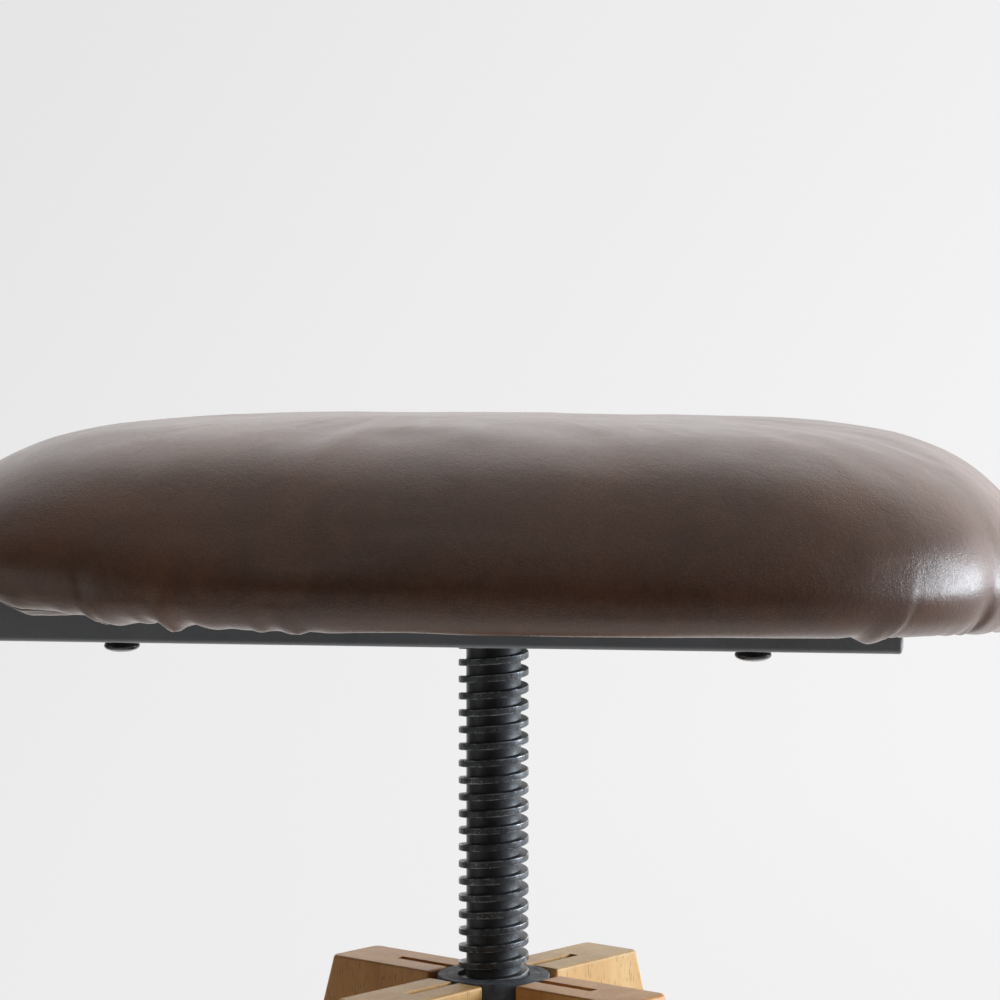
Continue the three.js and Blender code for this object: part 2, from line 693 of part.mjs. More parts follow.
// One ring of the pad's rounded square outline, drawn in by `inset`, at height z
function padRing(inset, z) {
  const ring = [];
  const half = SEAT_HALF - inset;
  for (let k = 0; k < OUTLINE_POINTS; k++) {
    const angle = (2 * Math.PI * (k + 0.5)) / OUTLINE_POINTS;
    const c = Math.abs(Math.cos(angle)) ** SEAT_POWER;
    const s = Math.abs(Math.sin(angle)) ** SEAT_POWER;
    const radius = half * (c + s) ** (-1 / SEAT_POWER);
    ring.push([radius * Math.cos(angle), radius * Math.sin(angle), z]);
  }
  return ring;
}

// Moves an open section of [inset, height] points towards its inside by a distance
function insideOf(section, distance) {
  return section.map(([inset, z], i) => {
    const [i0, z0] = section[Math.max(i - 1, 0)];
    const [i1, z1] = section[Math.min(i + 1, section.length - 1)];
    const length = Math.hypot(i1 - i0, z1 - z0);
    return [inset - (distance * (z1 - z0)) / length, z + (distance * (i1 - i0)) / length];
  });
}

// A coarser copy of an inner section: every second point, and all of the lip's
function thinned(section) {
  return section.filter((_, i) => i % 2 === 0 || i >= section.length - 4);
}

function padRings(section) {
  return section.map(([inset, z]) => padRing(inset, z + BOARD_BOTTOM));
}

function leatherCover() {
  const flapBottom = CLOTH_BOTTOM - BOARD_BOTTOM;
  const flapTop = CLOTH_TOP - BOARD_BOTTOM;
  const inner = thinned(insideOf(PAD_SECTION, LEATHER));
  const lipInset = PAD_SECTION.at(-1)[0];
  const section = [
    ...PAD_SECTION,
    [lipInset + LIP_TURN.outer, flapBottom],
    [FLAP_INSET, flapBottom],
    [FLAP_INSET, flapTop],
    [lipInset - LIP_TURN.inner, flapTop],
    ...inner.toReversed(),
  ];
  const top = PAD_TOP + BOARD_BOTTOM;
  return skin(padRings(section), [0, 0, top], [0, 0, top - LEATHER]);
}

function foamPad() {
  const outer = thinned(insideOf(PAD_SECTION, LEATHER + GAP));
  const recess = BOARD_INSET - GAP;
  const section = [
    ...outer,
    [outer.at(-1)[0], -GAP],
    [recess, -GAP],
    [recess, BOARD_THICKNESS + GAP],
    [SEAT_HALF / 2, BOARD_THICKNESS + GAP],
  ];
  const top = PAD_TOP + BOARD_BOTTOM - LEATHER - GAP;
  return skin(padRings(section), [0, 0, top], [0, 0, BOARD_TOP + GAP]);
}

function padSheet(inset, z0, z1) {
  return skin([padRing(inset, z1), padRing(inset, z0)], [0, 0, z1], [0, 0, z0]);
}

function atRailBolts(tool) {
  const y = RAIL_FRONT - RAIL_SIZE / 2;
  const copies = [];
  for (const sx of [-1, 1]) {
    for (const sy of [-1, 1]) copies.push(tool.clone().translate(sx * RAIL_BOLT_X, sy * y, 0));
  }
  return copies;
}

function buildPad() {
  add(seat, "leather_cover", leatherCover(), leather());
  add(seat, "foam_pad", foamPad(), foam());
  const above = BOARD_TOP + OVERCUT;
  const barrelHoles = atRailBolts(cylinder(TEE.barrel + HOLE_ROOM, BOARD_BOTTOM - OVERCUT, above));
  const pockets = atRailBolts(cylinder(TEE.flange + HOLE_ROOM, BOARD_TOP - TEE.pocketDepth, above));
  const board = padSheet(BOARD_INSET, BOARD_BOTTOM, BOARD_TOP);
  add(seat, "seat_board", cut(board, ...barrelHoles, ...pockets), plywood());
  const clothHoles = atRailBolts(
    cylinder(RAIL_BOLT_RADIUS + HOLE_ROOM, CLOTH_BOTTOM - OVERCUT, CLOTH_TOP + OVERCUT),
  );
  const sheet = padSheet(FLAP_INSET + 1, CLOTH_BOTTOM, CLOTH_TOP);
  add(seat, "dust_cover", cut(sheet, ...clothHoles), cloth());
}

buildHub();
buildLegs();
buildScrew();
buildSeatFrame();
buildPad();

export default stool;
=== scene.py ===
"""The looks of an adjustable swivel stool: finer meshes, the soft seat and every material, built around the
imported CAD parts. Shapes are in millimetres in the frame of their own body until piece() makes them. The
seat's frame is turned by SEAT_TURN and each leg's by its own angle, about the screw's axis."""

import math

import bmesh
import bpy
import numpy as np
from mathutils import Matrix, Vector, noise
from mathutils.kdtree import KDTree


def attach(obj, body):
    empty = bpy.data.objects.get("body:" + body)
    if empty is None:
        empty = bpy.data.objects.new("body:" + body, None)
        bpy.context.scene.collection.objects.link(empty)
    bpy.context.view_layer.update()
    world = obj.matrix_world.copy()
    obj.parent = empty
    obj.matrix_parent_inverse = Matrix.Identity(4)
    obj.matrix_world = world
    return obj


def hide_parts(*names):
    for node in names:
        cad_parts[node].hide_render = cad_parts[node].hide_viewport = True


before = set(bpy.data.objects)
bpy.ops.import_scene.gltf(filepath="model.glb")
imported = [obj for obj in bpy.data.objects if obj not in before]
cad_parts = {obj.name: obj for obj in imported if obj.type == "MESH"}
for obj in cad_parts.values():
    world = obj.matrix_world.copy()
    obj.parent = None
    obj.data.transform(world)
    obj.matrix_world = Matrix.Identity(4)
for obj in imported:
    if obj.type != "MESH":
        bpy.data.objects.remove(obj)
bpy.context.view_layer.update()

MM = 0.001
SEAT_TURN = math.radians(-14)
LEG_TURNS = [math.radians(45 + 90 * k) for k in range(4)]

# ---- the CAD parts' sizes


def local_box(node, turn=0):
    """Lowest and highest corner in mm of a CAD node, in a frame turned about the screw's axis."""
    points = np.array([v.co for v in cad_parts[node].data.vertices]) / MM
    c, s = math.cos(turn), math.sin(turn)
    x = c * points[:, 0] + s * points[:, 1]
    y = c * points[:, 1] - s * points[:, 0]
    local = np.stack([x, y, points[:, 2]], 1)
    return local.min(0), local.max(0)


RAIL_LOW, RAIL_HIGH = local_box("front_rail", SEAT_TURN)
PLUG_LOW, PLUG_HIGH = local_box("front_rail_plug_right", SEAT_TURN)
PLATE_LOW, PLATE_HIGH = local_box("mount_plate", SEAT_TURN)
SCREW_LOW, SCREW_HIGH = local_box("screw", SEAT_TURN)
RAIL_BOLT_LOW, RAIL_BOLT_HIGH = local_box("rail_bolt_front_right", SEAT_TURN)
SEAT_HALF, _, SEAT_TOP = local_box("leather_cover", SEAT_TURN)[1]
CLOTH_LEVEL = local_box("dust_cover", SEAT_TURN)[0][2]
GUIDE_TOP = local_box("guide_bush")[1][2]
NUT_LEVEL = local_box("screw_nut")[0][2]
TUBE_LOW, TUBE_HIGH = local_box("hub_tube")
CAP_LOW, CAP_HIGH = local_box("hub_cap")
LEG_LOW, LEG_HIGH = local_box("leg_1", LEG_TURNS[0])
FIN_LOW, FIN_HIGH = local_box("hub_fin_1", LEG_TURNS[0])

# ---- shapes: (points, faces)


def joined(*shapes):
    points, faces = [], []
    for some_points, some_faces in shapes:
        start = len(points)
        points += [tuple(p) for p in some_points]
        faces += [[i + start for i in face] for face in some_faces]
    return points, faces


def moved(shape, matrix):
    return [tuple(matrix @ Vector(p)) for p in shape[0]], shape[1]


def shifted(shape, x=0, y=0, z=0):
    return moved(shape, Matrix.Translation((x, y, z)))


def turned(angle, axis="Z"):
    return Matrix.Rotation(angle, 4, axis)


TO_PLUS_X = turned(math.pi / 2, "Y")  # what each does to +Z
TO_PLUS_Y = turned(-math.pi / 2, "X")
TO_MINUS_Y = turned(math.pi / 2, "X")


def eased(corners, radius, steps=3, closed=False):
    """Rounds the corners of a line of 2-D points. The ends of an open line stay sharp."""
    line = []
    count = len(corners)
    for i, corner in enumerate(corners):
        if not closed and i in (0, count - 1):
            line.append(tuple(corner))
            continue
        here = Vector(corner)
        before, after = Vector(corners[i - 1]) - here, Vector(corners[(i + 1) % count]) - here
        reach = min(radius, 0.45 * before.length, 0.45 * after.length)
        start, end = here + before.normalized() * reach, here + after.normalized() * reach
        for k in range(steps + 1):
            t = k / steps
            line.append(tuple(start * (1 - t) ** 2 + here * 2 * t * (1 - t) + end * t * t))
    return line


def rectangle(low, high):
    return [(low[0], low[1]), (high[0], low[1]), (high[0], high[1]), (low[0], high[1])]


def square(half, radius):
    return eased(rectangle((-half, -half), (half, half)), radius, 5, True)


def regular(radius, sides=6):
    angles = [2 * math.pi * k / sides for k in range(sides)]
    return [(radius * math.cos(a), radius * math.sin(a)) for a in angles]


def lathe(profile, sides, closed=False):
    """A solid turned about Z from (radius, height) points that run from the axis at the bottom, outwards and
    up, to the axis at the top. With closed, the profile is a loop off the axis, such as a tube's wall."""
    points, rows = [], []
    for radius, height in profile:
        if radius < 1e-6:
            rows.append([len(points)] * sides)
            points.append((0, 0, height))
            continue
        rows.append(list(range(len(points), len(points) + sides)))
        points += [(x, y, height) for x, y in regular(radius, sides)]
    if closed:
        rows.append(rows[0])
    faces = []
    for low, high in zip(rows, rows[1:]):
        for k in range(sides):
            n = (k + 1) % sides
            face = list(dict.fromkeys([low[k], low[n], high[n], high[k]]))
            if len(face) > 2:
                faces.append(face)
    return points, faces


def sleeve(inner, outer, low, high, rounding, steps=3, sides=128):
    """A tube between two radii and two heights."""
    wall = eased(rectangle((inner, low), (outer, high)), rounding, steps, True)
    return lathe(wall, sides, closed=True)


def headed(shank, head, rounding, sides):
    """A turned shank with a rounded head on its last point."""
    return lathe(shank + eased(shank[-1:] + head, rounding, 4)[1:], sides)


def prism(outline, low, high):
    """An upright prism over an outline that turns anticlockwise."""
    count = len(outline)
    points = [(x, y, low) for x, y in outline] + [(x, y, high) for x, y in outline]
    faces = [list(range(count - 1, -1, -1)), list(range(count, 2 * count))]
    for k in range(count):
        n = (k + 1) % count
        faces.append([k, n, count + n, count + k])
    return points, faces


def block(low, high):
    return prism(rectangle(low, high), low[2], high[2])


def rod(radius, low, high, sides=32):
    return prism(regular(radius, sides), low, high)


def bevelled(shape, width, segments=2, angle=30, chosen=lambda edge: True):
    """Rounds the edges that are sharper than angle."""
    mesh = bmesh.new()
    points = [mesh.verts.new(p) for p in shape[0]]
    for face in shape[1]:
        mesh.faces.new([points[i] for i in face])
    mesh.normal_update()
    edges = [e for e in mesh.edges if e.calc_face_angle(0) > math.radians(angle) and chosen(e)]
    bmesh.ops.bevel(
        mesh, geom=edges, offset=width, offset_type="OFFSET", segments=segments, profile=0.5, affect="EDGES",
        clamp_overlap=True,
    )
    mesh.verts.index_update()
    made = [tuple(v.co) for v in mesh.verts], [[v.index for v in f.verts] for f in mesh.faces]
    mesh.free()
    return made


def linked(name, data):
    """A new object of the scene."""
    obj = bpy.data.objects.new(name, data)
    bpy.context.scene.collection.objects.link(obj)
    return obj


def as_mesh(name, shape, scale=1):
    mesh = bpy.data.meshes.new(name)
    mesh.from_pydata([tuple(scale * c for c in p) for p in shape[0]], [], shape[1])
    return mesh


def cut(shape, *tools):
    """shape without the space of each tool."""
    made = [linked("cutting", as_mesh("cutting", each)) for each in (shape, *tools)]
    for cutter in made[1:]:
        modifier = made[0].modifiers.new("cut", "BOOLEAN")
        modifier.object = cutter
        modifier.operation = "DIFFERENCE"
        modifier.solver = "EXACT"
    bpy.context.view_layer.update()
    result = made[0].evaluated_get(bpy.context.evaluated_depsgraph_get()).data
    points = [tuple(v.co) for v in result.vertices]
    faces = [list(p.vertices) for p in result.polygons]
    for obj in made:
        mesh = obj.data
        bpy.data.objects.remove(obj)
        bpy.data.meshes.remove(mesh)
    return points, faces


def closed_faces(rows, columns):
    """Faces between closed rows of points, and over the first and the last row."""
    made = []
    for r in range(rows - 1):
        for k in range(columns):
            n = (k + 1) % columns
            a, b = r * columns, (r + 1) * columns
            made.append([a + k, b + k, b + n, a + n])
    last = (rows - 1) * columns
    return made + [list(range(columns)), [last + k for k in range(columns - 1, -1, -1)]]


def bead(path, radius, sides=10):
    """A weld bead along a path of points: a tube with ripples, closed at both ends."""
    path = [Vector(p) for p in path]
    points = []
    for i, p in enumerate(path):
        along = (path[min(i + 1, len(path) - 1)] - path[max(i - 1, 0)]).normalized()
        side = along.cross(Vector((0.3, 0.2, 1))).normalized()
        other = along.cross(side)
        end = min(i, len(path) - 1 - i)
        size = radius * min(1, 0.35 + 0.35 * end) * (1 + 0.12 * math.sin(2.4 * i))
        for k in range(sides):
            a = 2 * math.pi * k / sides
            points.append(p + size * (math.cos(a) * side + math.sin(a) * other))
    return points, [face[:1] + face[:0:-1] for face in closed_faces(len(path), sides)]


def straight_bead(start, end, radius):
    start, end = Vector(start), Vector(end)
    steps = max(4, round((end - start).length))
    return bead([start.lerp(end, k / steps) for k in range(steps + 1)], radius)


# ---- pieces


def piece(name, shape, look, replaces, body="seat", turn=SEAT_TURN, sharp=35, even=True):
    """A mesh object of a shape, riding on a body. Edges sharper than sharp degrees stay crisp."""
    mesh = as_mesh(name, shape, MM)
    mesh.transform(turned(turn))
    mesh.polygons.foreach_set("use_smooth", [True] * len(mesh.polygons))
    mesh.set_sharp_from_angle(angle=math.radians(sharp))
    mesh.materials.append(look.material)
    obj = linked(name, mesh)
    if even:
        weighted = obj.modifiers.new("even shading", "WEIGHTED_NORMAL")
        weighted.keep_sharp = True
    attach(obj, body)
    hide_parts(*replaces)
    return obj


def finer(node, shape, look, body="seat", turn=SEAT_TURN, **more):
    """A finer piece in the place of one CAD node."""
    return piece(f"{node}_fine", shape, look, [node], body, turn, **more)


# ---- materials

PITCH = 6
HALF_RIDGE = 1.2
CREST_RADIUS = 12.5
CORE_RADIUS = 9.75


def opaque(colour):
    """A grey level or an (r, g, b) colour as RGBA."""
    return (*colour, 1) if hasattr(colour, "__len__") else (colour, colour, colour, 1)


class Nodes:
    """A node tree. The methods add a node and give back the output to link on."""

    def __init__(self, tree):
        self.tree = tree

    def node(self, kind, settings=None, **inputs):
        made = self.tree.nodes.new(kind)
        for key, value in (settings or {}).items():
            setattr(made, key, value)
        self.fill(made, inputs)
        return made

    def fill(self, node, inputs):
        """Links or sets a node's inputs, listed by name (with _ for a space) or by number."""
        for key, value in inputs.items():
            socket = node.inputs[key.replace("_", " ") if isinstance(key, str) else key]
            if isinstance(value, bpy.types.NodeSocket):
                self.tree.links.new(value, socket)
            else:
                socket.default_value = opaque(value) if socket.type == "RGBA" else value

    def math(self, operation, a, b=0):
        made = self.node("ShaderNodeMath", {"operation": operation})
        self.fill(made, {0: a, 1: b})
        return made.outputs[0]

    def times(self, a, b):
        return self.math("MULTIPLY", a, b)

    def mix(self, factor, a, b, kind="MIX"):
        made = self.node("ShaderNodeMix", {"data_type": "RGBA", "blend_type": kind})
        self.fill(made, {0: factor, 6: a, 7: b})
        return made.outputs[2]

    def range(self, value, low=0, high=1, start=0, end=1, kind="LINEAR"):
        """low to high while value goes from start to end."""
        made = self.node("ShaderNodeMapRange", {"interpolation_type": kind}, Value=value)
        self.fill(made, {"From Min": start, "From Max": end, "To Min": low, "To Max": high})
        return made.outputs[0]


class Look(Nodes):
    """A material with a Principled shader, and the slot of the record that it belongs to. The values given at
    the start stay where nothing is linked later."""

    def __init__(self, name, slot=None, **sockets):
        self.slot = slot
        self.material = bpy.data.materials.new(name)
        self.material.use_nodes = True
        super().__init__(self.material.node_tree)
        self.shader = self.tree.nodes["Principled BSDF"]
        self.fill(self.shader, sockets)
        self.place = self.node("ShaderNodeTexCoord").outputs["Object"]

    def finished(self, colour, roughness, relief):
        self.fill(self.shader, {"Base Color": colour, "Roughness": roughness, "Normal": relief})
        return self

    def stretched(self, scale, turn=(0, 0, 0), offset=(0, 0, 0)):
        made = self.node("ShaderNodeMapping", Vector=self.place, Scale=scale, Rotation=turn, Location=offset)
        return made.outputs[0]

    def noise(self, scale, detail=4, roughness=0.55, distortion=0, at=None):
        made = self.node("ShaderNodeTexNoise", Vector=at or self.place, Scale=scale, Detail=detail)
        self.fill(made, {"Roughness": roughness, "Distortion": distortion})
        return made.outputs["Fac"]

    def cells(self, scale, feature="F1", randomness=1):
        made = self.node("ShaderNodeTexVoronoi", {"feature": feature}, Vector=self.place, Scale=scale)
        self.fill(made, {"Randomness": randomness})
        return made.outputs["Distance"]

    def ramp(self, value, *stops):
        made = self.node("ShaderNodeValToRGB", Fac=value)
        elements = made.color_ramp.elements
        while len(elements) < len(stops):
            elements.new(1)
        for element, (position, colour) in zip(elements, stops):
            element.position = position
            element.color = opaque(colour)
        return made.outputs["Color"]

    def bump(self, height, depth, strength, under=None):
        """Raises the surface by depth in mm where height is 1."""
        made = self.node("ShaderNodeBump", Height=height, Distance=depth * MM, Strength=strength)
        if under is not None:
            self.fill(made, {"Normal": under})
        return made.outputs[0]

    def xyz(self):
        return self.node("ShaderNodeSeparateXYZ", Vector=self.place).outputs

    def axis_distance(self):
        """Distance from the Z axis, in metres."""
        x, y, _ = self.xyz()
        return self.math("SQRT", self.math("ADD", self.times(x, x), self.times(y, y)))


def leather_look():
    look = Look("brown_leather", "leather", Roughness=0.36, Specular_IOR_Level=0.5)
    cloud = look.noise(14, 5, 0.6, 0.4)
    mottle = look.noise(95, 6, 0.65, 0.8)
    streak = look.noise(260, 3, 0.6, 1.5, at=look.stretched((1, 1, 0.45), (0.2, 0.1, 0.5)))
    pebble = look.cells(820, "DISTANCE_TO_EDGE")
    fine = look.cells(2100, "DISTANCE_TO_EDGE")
    dark, middle, light = (0.046, 0.021, 0.012), (0.074, 0.031, 0.016), (0.124, 0.047, 0.018)
    colour = look.ramp(cloud, (0.30, dark), (0.52, middle), (0.72, light))
    colour = look.mix(look.ramp(mottle, (0.42, 0), (0.75, 0.45)), colour, (0.132, 0.058, 0.031))
    valley = look.ramp(pebble, (0, 1), (0.14, 0))
    colour = look.mix(look.times(valley, 0.45), colour, (0.030, 0.017, 0.013))
    wrinkle = look.ramp(streak, (0.47, 0), (0.5, 1), (0.53, 0))
    colour = look.mix(look.times(wrinkle, 0.22), colour, (0.10, 0.06, 0.045))
    worn = look.ramp(look.noise(30, 4, 0.6, 0.5), (0.38, 0.25), (0.62, 1))
    pores = look.times(look.ramp(pebble, (0, 0), (0.25, 1)), worn)
    relief = look.bump(pores, 0.07, 0.45)
    relief = look.bump(look.ramp(fine, (0, 0), (0.3, 1)), 0.04, 0.5, relief)
    relief = look.bump(streak, 0.25, 0.35, relief)
    relief = look.bump(mottle, 0.4, 0.3, relief)
    return look.finished(colour, look.range(mottle, 0.31, 0.45), relief)


def wood_look(name, offset, tone_and_shade):
    """Pale open-grained hardwood with its grain along Z. tone makes the plank lighter, darker or redder:
    partly its own colour, partly painted light and shade.
    """

    def tint(*colour):
        return tuple(part * shade for part, shade in zip(colour, tone_and_shade))

    look = Look(name, "oak", Roughness=0.5)
    along = look.stretched((1, 1, 0.035), offset=offset)
    rings = look.noise(75, 3, 0.5, 0.6, at=along)
    fibre = look.noise(900, 4, 0.6, 0, at=along)
    blotch = look.noise(16, 3, 0.5, 0.3, at=look.stretched((1, 1, 0.3), offset=offset))
    pores = look.noise(1700, 2, 0.45, 0, at=look.stretched((1, 1, 0.16), offset=offset))
    dark, middle, light = tint(0.52, 0.29, 0.095), tint(0.65, 0.42, 0.165), tint(0.74, 0.53, 0.245)
    colour = look.ramp(rings, (0.30, dark), (0.50, middle), (0.70, light))
    colour = look.mix(look.range(blotch, 0, 0.5), colour, tint(0.56, 0.31, 0.10))
    colour = look.mix(look.range(fibre, 0, 0.38), colour, tint(0.46, 0.235, 0.07))
    flecks = look.ramp(pores, (0.62, 0), (0.68, 1))
    colour = look.mix(look.times(flecks, 0.62), colour, (0.17, 0.075, 0.025))
    relief = look.bump(fibre, 0.05, 0.6)
    relief = look.bump(look.math("SUBTRACT", 1, flecks), 0.08, 0.6, relief)
    return look.finished(colour, look.range(fibre, 0.40, 0.62), relief)


PAINT_DARK, PAINT_LIGHT = (0.150, 0.164, 0.180), (0.195, 0.212, 0.230)


def painted_look():
    """Satin charcoal powder coat with a faint orange peel."""
    look = Look("charcoal_paint", "painted_steel", Roughness=0.42, Metallic=0)
    speckle = look.noise(900, 3, 0.6)
    cloud = look.noise(30, 4, 0.6)
    colour = look.ramp(cloud, (0.3, PAINT_DARK), (0.7, PAINT_LIGHT))
    colour = look.mix(look.ramp(speckle, (0.55, 0), (0.75, 0.35)), colour, (0.26, 0.28, 0.30))
    peel = look.bump(look.noise(520, 2), 0.06, 0.5)
    return look.finished(colour, look.range(speckle, 0.34, 0.52), peel)


def blackened_look():
    """Black oxide on steel, mottled, with a little mill scale."""
    look = Look("blackened_steel", "black_steel", Roughness=0.6, Specular_IOR_Level=0.14)
    scale = look.noise(210, 6, 0.65, 0.4)
    grain = look.noise(1500, 3, 0.6)
    dark, middle, light = (0.056, 0.062, 0.070), (0.092, 0.102, 0.114), (0.165, 0.178, 0.190)
    colour = look.ramp(scale, (0.32, dark), (0.55, middle), (0.74, light))
    relief = look.bump(grain, 0.06, 0.6, look.bump(scale, 0.35, 0.7))
    return look.finished(colour, look.range(scale, 0.75, 0.52), relief)


def ridge_corner(look, ridge_middle):
    """1 at the two corners of the thread's ridge, 0 away from them."""
    x, y, z = look.xyz()
    turns = look.times(look.math("ARCTAN2", y, x), 0.5 / math.pi)
    pitches = look.times(look.math("SUBTRACT", z, ridge_middle * MM), 1 / (PITCH * MM))
    phase = look.math("SUBTRACT", pitches, turns)
    off_middle = look.times(look.math("PINGPONG", phase, 0.5), PITCH)  # in mm
    from_corner = look.math("ABSOLUTE", look.math("SUBTRACT", off_middle, HALF_RIDGE - 0.1))
    return look.ramp(from_corner, (0.08, 1), (0.34, 0))


def thread_look(ridge_middle):
    """Blackened screw steel, worn bright on the edges of the thread with painted highlights there too, and
    with painted shade at its root. ridge_middle is a height where the ridge's middle passes the X axis."""
    look = Look("thread_steel", "black_steel", Roughness=0.4, Metallic=0.5, Specular_IOR_Level=0.4)
    scale = look.noise(260, 6, 0.65, 0.5)
    round_lines = look.noise(1300, 3, 0.6, 0, at=look.stretched((0.06, 0.06, 1)))
    pits = look.noise(950, 4, 0.7, 0.4)
    patches = look.ramp(look.noise(160, 5, 0.7, 0.6), (0.44, 0), (0.60, 1))
    distance = look.axis_distance()
    crest = look.range(distance, start=(CREST_RADIUS - 0.5) * MM, end=(CREST_RADIUS - 0.2) * MM)
    root = look.range(distance, start=(CORE_RADIUS + 0.9) * MM, end=CORE_RADIUS * MM)
    dark, middle, light = (0.032, 0.035, 0.038), (0.062, 0.067, 0.072), (0.115, 0.123, 0.130)
    colour = look.ramp(scale, (0.32, dark), (0.56, middle), (0.76, light))
    # painted highlight, partly wear too: the crest's corners brightened in patches
    worn = look.times(look.times(crest, ridge_corner(look, ridge_middle)), patches)
    colour = look.mix(look.times(worn, 0.85), colour, (0.42, 0.44, 0.46))
    # painted shade: the thread's root darkened where the ridges shade it
    root_shade = look.times(root, look.ramp(scale, (0.4, 0.1), (0.6, 0.5)))
    colour = look.mix(root_shade, colour, (0.022, 0.023, 0.025))
    # bright flecks on the crest: partly wear, partly painted glints
    rubbed_flecks_and_glints = look.times(look.ramp(pits, (0.55, 0), (0.66, 0.8)), patches)
    colour = look.mix(look.times(rubbed_flecks_and_glints, crest), colour, (0.34, 0.35, 0.36))
    rough = look.mix(worn, look.range(scale, 0.56, 0.38), 0.25)
    relief = look.bump(pits, 0.12, 0.6, look.bump(round_lines, 0.08, 0.7))
    relief = look.bump(scale, 0.22, 0.6, relief)
    return look.finished(colour, rough, relief)


def bolt_look():
    """Glossy black zinc on the fasteners."""
    look = Look("black_bolt", "black_steel", Roughness=0.3, Metallic=0.2)
    scuff = look.noise(700, 5, 0.6, 0.3)
    colour = look.ramp(scuff, (0.35, (0.008, 0.008, 0.009)), (0.75, (0.024, 0.025, 0.027)))
    return look.finished(colour, look.range(scuff, 0.18, 0.36), look.bump(scuff, 0.02, 0.5))


def zinc_look():
    look = Look("zinc_plate", "zinc_steel", Roughness=0.35, Metallic=1)
    haze = look.noise(500, 5, 0.6)
    colour = look.ramp(look.cells(420), (0, (0.46, 0.47, 0.48)), (0.9, (0.62, 0.63, 0.62)))
    colour = look.mix(look.range(haze, 0, 0.3), colour, (0.38, 0.37, 0.33))
    return look.finished(colour, look.range(haze, 0.26, 0.48), look.bump(haze, 0.03, 0.4))


def plastic_look(name, dark, light, rough, slot=None):
    """Moulded plastic with a fine spark-eroded texture."""
    look = Look(name, slot or name, Roughness=rough)
    grain = look.noise(2200, 3, 0.6)
    colour = look.ramp(look.noise(60, 3, 0.5), (0.3, dark), (0.7, light))
    roughness = look.range(grain, rough - 0.08, rough + 0.12)
    return look.finished(colour, roughness, look.bump(grain, 0.035, 0.6))


def cloth_look():
    """Black spun-bonded cloth: random fibres pressed with rows of small square dimples."""
    look = Look("dust_cloth", "dust_cloth", Roughness=0.9)
    fibre = look.noise(900, 5, 0.7, 2)
    dimple = look.ramp(look.cells(620, randomness=0), (0.28, 0), (0.42, 1))
    colour = look.ramp(fibre, (0.35, (0.010, 0.010, 0.011)), (0.7, (0.032, 0.032, 0.034)))
    colour = look.mix(look.times(dimple, 0.35), colour, (0.045, 0.045, 0.047))
    relief = look.bump(fibre, 0.08, 0.6, look.bump(dimple, 0.10, 0.6))
    return look.finished(colour, look.range(fibre, 0.75, 0.95), relief)


def plywood_look():
    look = Look("plywood", Roughness=0.65)
    ply_thickness = 1.2 * MM
    plies = look.math("SINE", look.times(look.xyz()[2], math.pi / ply_thickness))
    grain = look.noise(300, 4, 0.6, 0.5, at=look.stretched((0.05, 1, 1)))
    colour = look.ramp(grain, (0.3, (0.42, 0.27, 0.13)), (0.7, (0.60, 0.43, 0.24)))
    colour = look.mix(look.range(plies, 0, 0.35), colour, (0.25, 0.14, 0.06))
    return look.finished(colour, look.range(grain, 0.55, 0.75), look.bump(grain, 0.1, 0.4))


def stage_look():
    """A pale floor that takes shadows near the stool, with a faint painted glow, and further out turns into a
    glowing backdrop painted brighter towards the right and lower down, as painted light.
    """
    look = Look("pale_stage", Roughness=0.9, Specular_IOR_Level=0)
    far = look.range(look.axis_distance(), start=1, end=1.9, kind="SMOOTHSTEP")
    x, _, z = look.xyz()
    # painted light: the backdrop's glow grows towards +X and fades with height
    backdrop = look.math("ADD", look.math("ADD", look.times(x, 0.045), look.times(z, -0.03)), 0.855)
    glow = look.node("ShaderNodeMix", {"data_type": "FLOAT"})
    look.fill(glow, {0: far, 2: 0.06, 3: backdrop})
    floor = look.mix(far, (0.68, 0.685, 0.69), 0)
    look.fill(look.shader, {"Base Color": floor, "Emission Color": 1, "Emission Strength": glow.outputs[0]})
    return look


LEATHER = leather_look()
PAINT = painted_look()
BLACK_STEEL = blackened_look()
BOLT = bolt_look()
ZINC = zinc_look()
BLACK_PLASTIC = plastic_look("black_plastic", (0.012, 0.012, 0.013), (0.02, 0.02, 0.021), 0.5)
PLUG = plastic_look("rail_plug", PAINT_DARK, PAINT_LIGHT, 0.45, "black_plastic")
NYLON = plastic_look("nylon", (0.62, 0.60, 0.53), (0.70, 0.68, 0.61), 0.42)
CLOTH = cloth_look()
PLYWOOD = plywood_look()
# Each leg's colour factor is partly the plank's own colour and partly painted light and shade for how the
# window falls on it: the second and fourth legs are darker and redder as painted shade on their sides away
# from the window.
WOOD_TONES_AND_SHADE = [(0.93, 0.93, 0.88), (0.77, 0.60, 0.43), (0.94, 0.89, 0.77), (1.02, 0.80, 0.58)]
WOODS = [
    wood_look(f"hardwood_{k + 1}", (0.37 * k, 0.53 * k, 0.71 * k), tone_and_shade) for k, tone_and_shade in enumerate(WOOD_TONES_AND_SHADE)
]

# ---- the base

